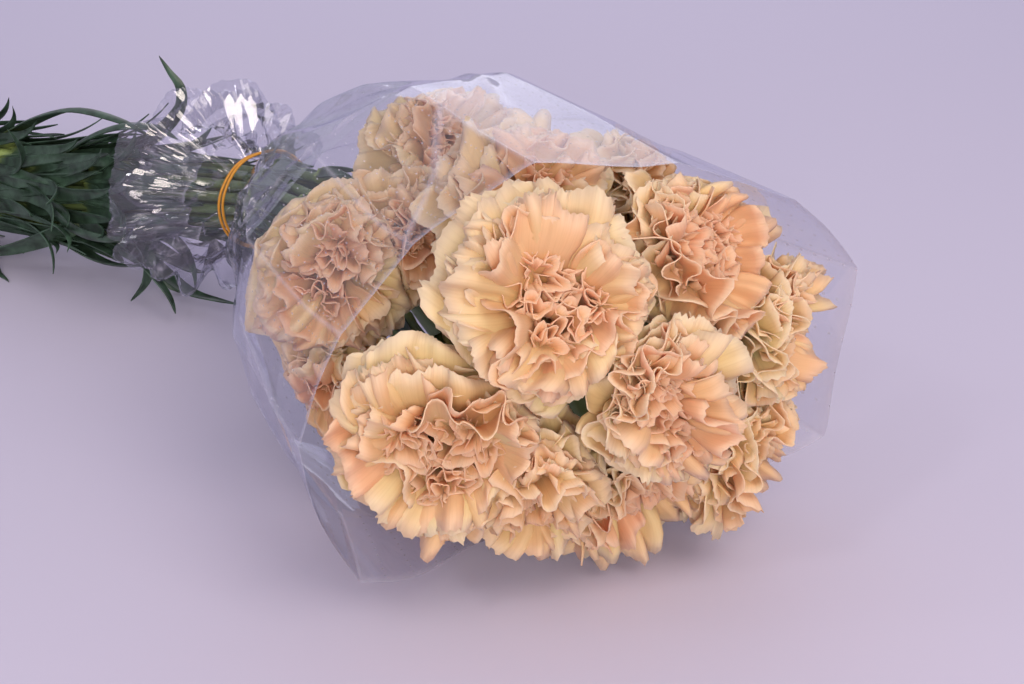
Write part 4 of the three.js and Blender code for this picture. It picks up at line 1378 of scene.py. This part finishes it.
# The strength of the highlight painted along a long crease.
CREASE_WHITE = 0.7
VENTED_ROWS = (1.8, 2.2)  # the vents begin between these
SHEET_LENGTHS = (0.6, 0.29)  # metres round and along, so that the vents keep their pitch
FILM_SHARP = 12  # degrees
CRUMPLE_SEED = 11


def sheet_row(y):
    """The sleeve's row at a height of the flat sheet, with the faces close together in the collar."""
    collar = -BAND_ROW + y / COLLAR_SHARE * (WAIST_ROW + BAND_ROW)
    front = WAIST_ROW + (y - COLLAR_SHARE) / (1 - COLLAR_SHARE) * (MOUTH_ROW - WAIST_ROW)
    return np.where(y < COLLAR_SHARE, collar, front)


def peak(distance, width):
    """1 at no distance, falling straight to 0 at the width."""
    return np.clip(1 - np.abs(distance) / width, 0, 1)


def buckles(row, degrees):
    """How far the short buckles lift the film, and how strong a highlight is painted along their ridges."""
    lift, white = 0 * row, 0 * row
    for first, a, last, b, height, half_width in BUCKLES:
        along = np.array([last - first, (b - a) / ROW_DEGREES])
        gap = np.stack([row - first, (degrees - a) / ROW_DEGREES], -1)
        share = gap @ along / (along @ along)
        off = (gap[..., 0] * along[1] - gap[..., 1] * along[0]) / np.linalg.norm(along)
        ridge = peak(off, half_width) * (share > 0) * (share < 1)
        lift = lift + height * ridge * np.minimum(1, 8 * np.minimum(share, 1 - share))
        # A highlight is painted along each buckle's ridge.
        white = np.maximum(white, np.clip(1.6 * ridge - 0.6, 0, 1))
    return lift, white


def crumple(row, angle):
    """How far buckles and crumples lift the film, and how strong a highlight is painted along them."""
    random = np.random.default_rng(CRUMPLE_SEED)
    degrees = np.degrees(angle) % 360
    lift, white = buckles(row, degrees)
    collar = smooth(0.1, -0.8, row) * smooth(-6.5, -3, row)
    front = smooth(0.3, 1.2, row) * smooth(3.6, 1.6, row)
    soft = smooth(1.5, 3, row)
    for number in range(CRUMPLES):
        waves = random.integers(2, 9) * angle + random.uniform(1.2, 4.5) * row + random.uniform(0, 6)
        fold = 2 * np.abs(np.sin(waves)) - 1
        if number < WHITE_CRUMPLES:
            # A highlight is painted along the valleys of the sharpest crumples.
            white = np.maximum(white, collar * peak(fold + 1, 0.12))
        height = CRUMPLE_HEIGHT * random.uniform(*CRUMPLE_HEIGHTS)
        lift = lift + fold * height * (collar + IN_FRONT * front)
        wide = random.integers(3, 12) * angle + random.uniform(-1.5, 1.5) * row + random.uniform(0, 6)
        lift = lift + SLACK * np.sin(wide) * soft
    flap = peak(row - FLAP[0], FLAP_SIZE[0]) * peak(degrees - FLAP[1], FLAP_SIZE[1])
    return lift + FLAP[2] * flap, white


def make_sleeve():
    """The film sleeve as one sheet."""
    made = flat_grid("film_sleeve", FILM_AROUND, FILM_ALONG)
    x, y = points_of(made.data)[:, :2].T
    around = (x + 1) / 2
    row = sheet_row(y)
    a, b, t = film_angle(row, around)
    lift, white = crumple(row, a + (b - a) * t)
    set_points(made.data, film_at(row, around, extra=lift))
    # Painted highlights: a whitish veil along the long creases and the cut edge, joined to those of the
    # buckles and crumples.
    crease = CREASE_WHITE * peak(np.minimum(t, 1 - t), CREASE_WIDTH) * smooth(1.2, 2.2, row)
    edge = smooth(0.985, 1, y) + smooth(0.012, 0, y)
    mark(made.data, "stretched", np.maximum(np.maximum(crease, white), edge))
    mark(made.data, "vented", smooth(*VENTED_ROWS, row))
    uv = made.data.uv_layers["sheet"].data
    loops = np.empty(2 * len(uv))
    uv.foreach_get("uv", loops)
    uv.foreach_set("uv", (loops.reshape(-1, 2) * SHEET_LENGTHS).ravel())
    bpy.ops.object.mode_set(mode="EDIT")
    bpy.ops.mesh.select_all(action="SELECT")
    bpy.ops.mesh.remove_doubles(threshold=1e-6)
    bpy.ops.mesh.normals_make_consistent(inside=False)
    bpy.ops.object.mode_set(mode="OBJECT")
    return made


sleeve = make_sleeve()
apply_modifier(sleeve, "SOLIDIFY", thickness=FILM_THICKNESS * MM, offset=0)
bpy.ops.object.shade_smooth_by_angle(angle=math.radians(FILM_SHARP))
finish_piece(sleeve, "sleeve", clear_film)

# %% [markdown]
# ## The rubber band
#
# A tan rubber band is wound twice round the waist. Its two turns lie side by side and cross over each
# other, and they wander a little over the pleats. A flat section would twist along such a curve, and the
# band is so thin that a round one shows no difference.

# %% Rubber material
GRAIN_MM = 0.8  # the powdered skin of cut rubber


def rubber_material():
    material, add = new_material("tan_natural_rubber")
    place = add("TexCoord").outputs["Object"]
    grain = add("TexNoise", {"Vector": place, "Scale": 1 / (GRAIN_MM * MM), "Detail": 3.0})
    colour = add("Mix", {0: grain, 6: srgb("#B97A1C"), 7: srgb("#DB9B38")}, data_type="RGBA")
    bump = add("Bump", {"Strength": 0.2, "Distance": 0.0001, "Height": grain})
    skin = add("BsdfPrincipled", {"Base Color": colour, "Roughness": 0.48, "Normal": bump})
    add("OutputMaterial", {"Surface": skin})
    return material


tan_rubber = rubber_material()
print("made", tan_rubber.name)

# %% Build the rubber band
BAND_RADIUS = 23.0  # just outside the pleats
BAND_CORD = 0.65  # the radius of the band's section
BAND_TURNS = 2
BAND_POINTS = 96
TURNS_APART = 1.3  # how far each of the two turns lies from their middle
CROSSING = 0.35  # how far one lies over the other and the other under, where they cross
WANDER = 0.25
UNEVEN = 0.15  # how far its distance from the axis varies

angle = np.linspace(0, FULL_TURN * BAND_TURNS, BAND_POINTS * BAND_TURNS, endpoint=False)
distance = BAND_RADIUS + CROSSING * np.cos(angle / BAND_TURNS) + UNEVEN * np.sin(7 * angle)
x = BAND_X + TURNS_APART * np.sin(angle / BAND_TURNS) + WANDER * np.sin(5 * angle)
cord = [BAND_CORD] * len(angle)
band = tube_along("rubber_band", round_axis(x, distance, angle), cord, closed=True)
bpy.ops.object.shade_smooth()
finish_piece(band, "band", tan_rubber)
print("the band has", len(band.data.polygons), "faces")

# %% [markdown]
# ## Floor and light
#
# The bunch lies on a plain pale table top with a faint cool tint, in soft studio light. The main light
# stands at the right and above. Another beside the camera lights the faces of the blooms, with a narrow
# beam that misses the table near it. Two small lights at the left and one behind the stems give the film
# its highlights, and a pale surrounding fills the rest. The Standard view keeps the picked colours as
# they are.

# %% Floor
FLOOR_SIZE = 6.0
bpy.ops.mesh.primitive_plane_add(size=FLOOR_SIZE, location=(0, 0, 0))
floor = bpy.context.object
floor.name = "floor"
table_top, add = new_material("matt_table_top")
matt = {"Roughness": 0.75, "Specular IOR Level": 0.2}
add("OutputMaterial", {"Surface": add("BsdfPrincipled", {"Base Color": srgb("#C8C1D6"), **matt})})
floor.data.materials.append(table_top)
print("floor:", FLOOR_SIZE, "m wide")

# %% Lights
LIGHTS = [  # name, place, what it points at, size, watts, spread in degrees, colour
    ("key", (1.1, 0.1, 1.5), (0, 0, 0.08), 1.0, 12.8, 180, "#FFF4E5"),
    ("front", (1.42, -0.88, 0.66), (0, 0, 0.12), 0.7, 4.5, 90, "#FFF2E2"),
    ("left", (-0.45, -1.1, 1.0), (0, 0, 0.08), 0.25, 0.8, 180, "#FFFFFF"),
    ("back", (-1.25, 0.9, 0.85), (-0.5, 0.3, 0), 1.2, 5, 180, "#F8F6FF"),
    ("sparkle", (0.3, -1.3, 1.4), (0, 0, 0.08), 0.15, 2.2, 180, "#FFFFFF"),
]
SURROUNDING_COLOUR = "#DFDEF1"
SURROUNDING_STRENGTH = 0.6

for name, place, target, size, power, spread, colour in LIGHTS:
    light_data = bpy.data.lights.new(name, "AREA")
    light_data.shape = "SQUARE"
    light_data.size = size
    light_data.energy = power
    light_data.spread = math.radians(spread)
    light_data.color = srgb(colour)[:3]
    light = bpy.data.objects.new(name, light_data)
    light.location = place
    light.rotation_mode = "QUATERNION"
    light.rotation_quaternion = (Vector(target) - Vector(place)).to_track_quat("-Z", "Y")
    bpy.context.collection.objects.link(light)

world = bpy.data.worlds.new("studio")
world.use_nodes = True
surrounding = world.node_tree.nodes["Background"].inputs
surrounding["Color"].default_value = srgb(SURROUNDING_COLOUR)
surrounding["Strength"].default_value = SURROUNDING_STRENGTH
bpy.context.scene.world = world
bpy.context.scene.view_settings.view_transform = "Standard"
print("lights:", len(LIGHTS))
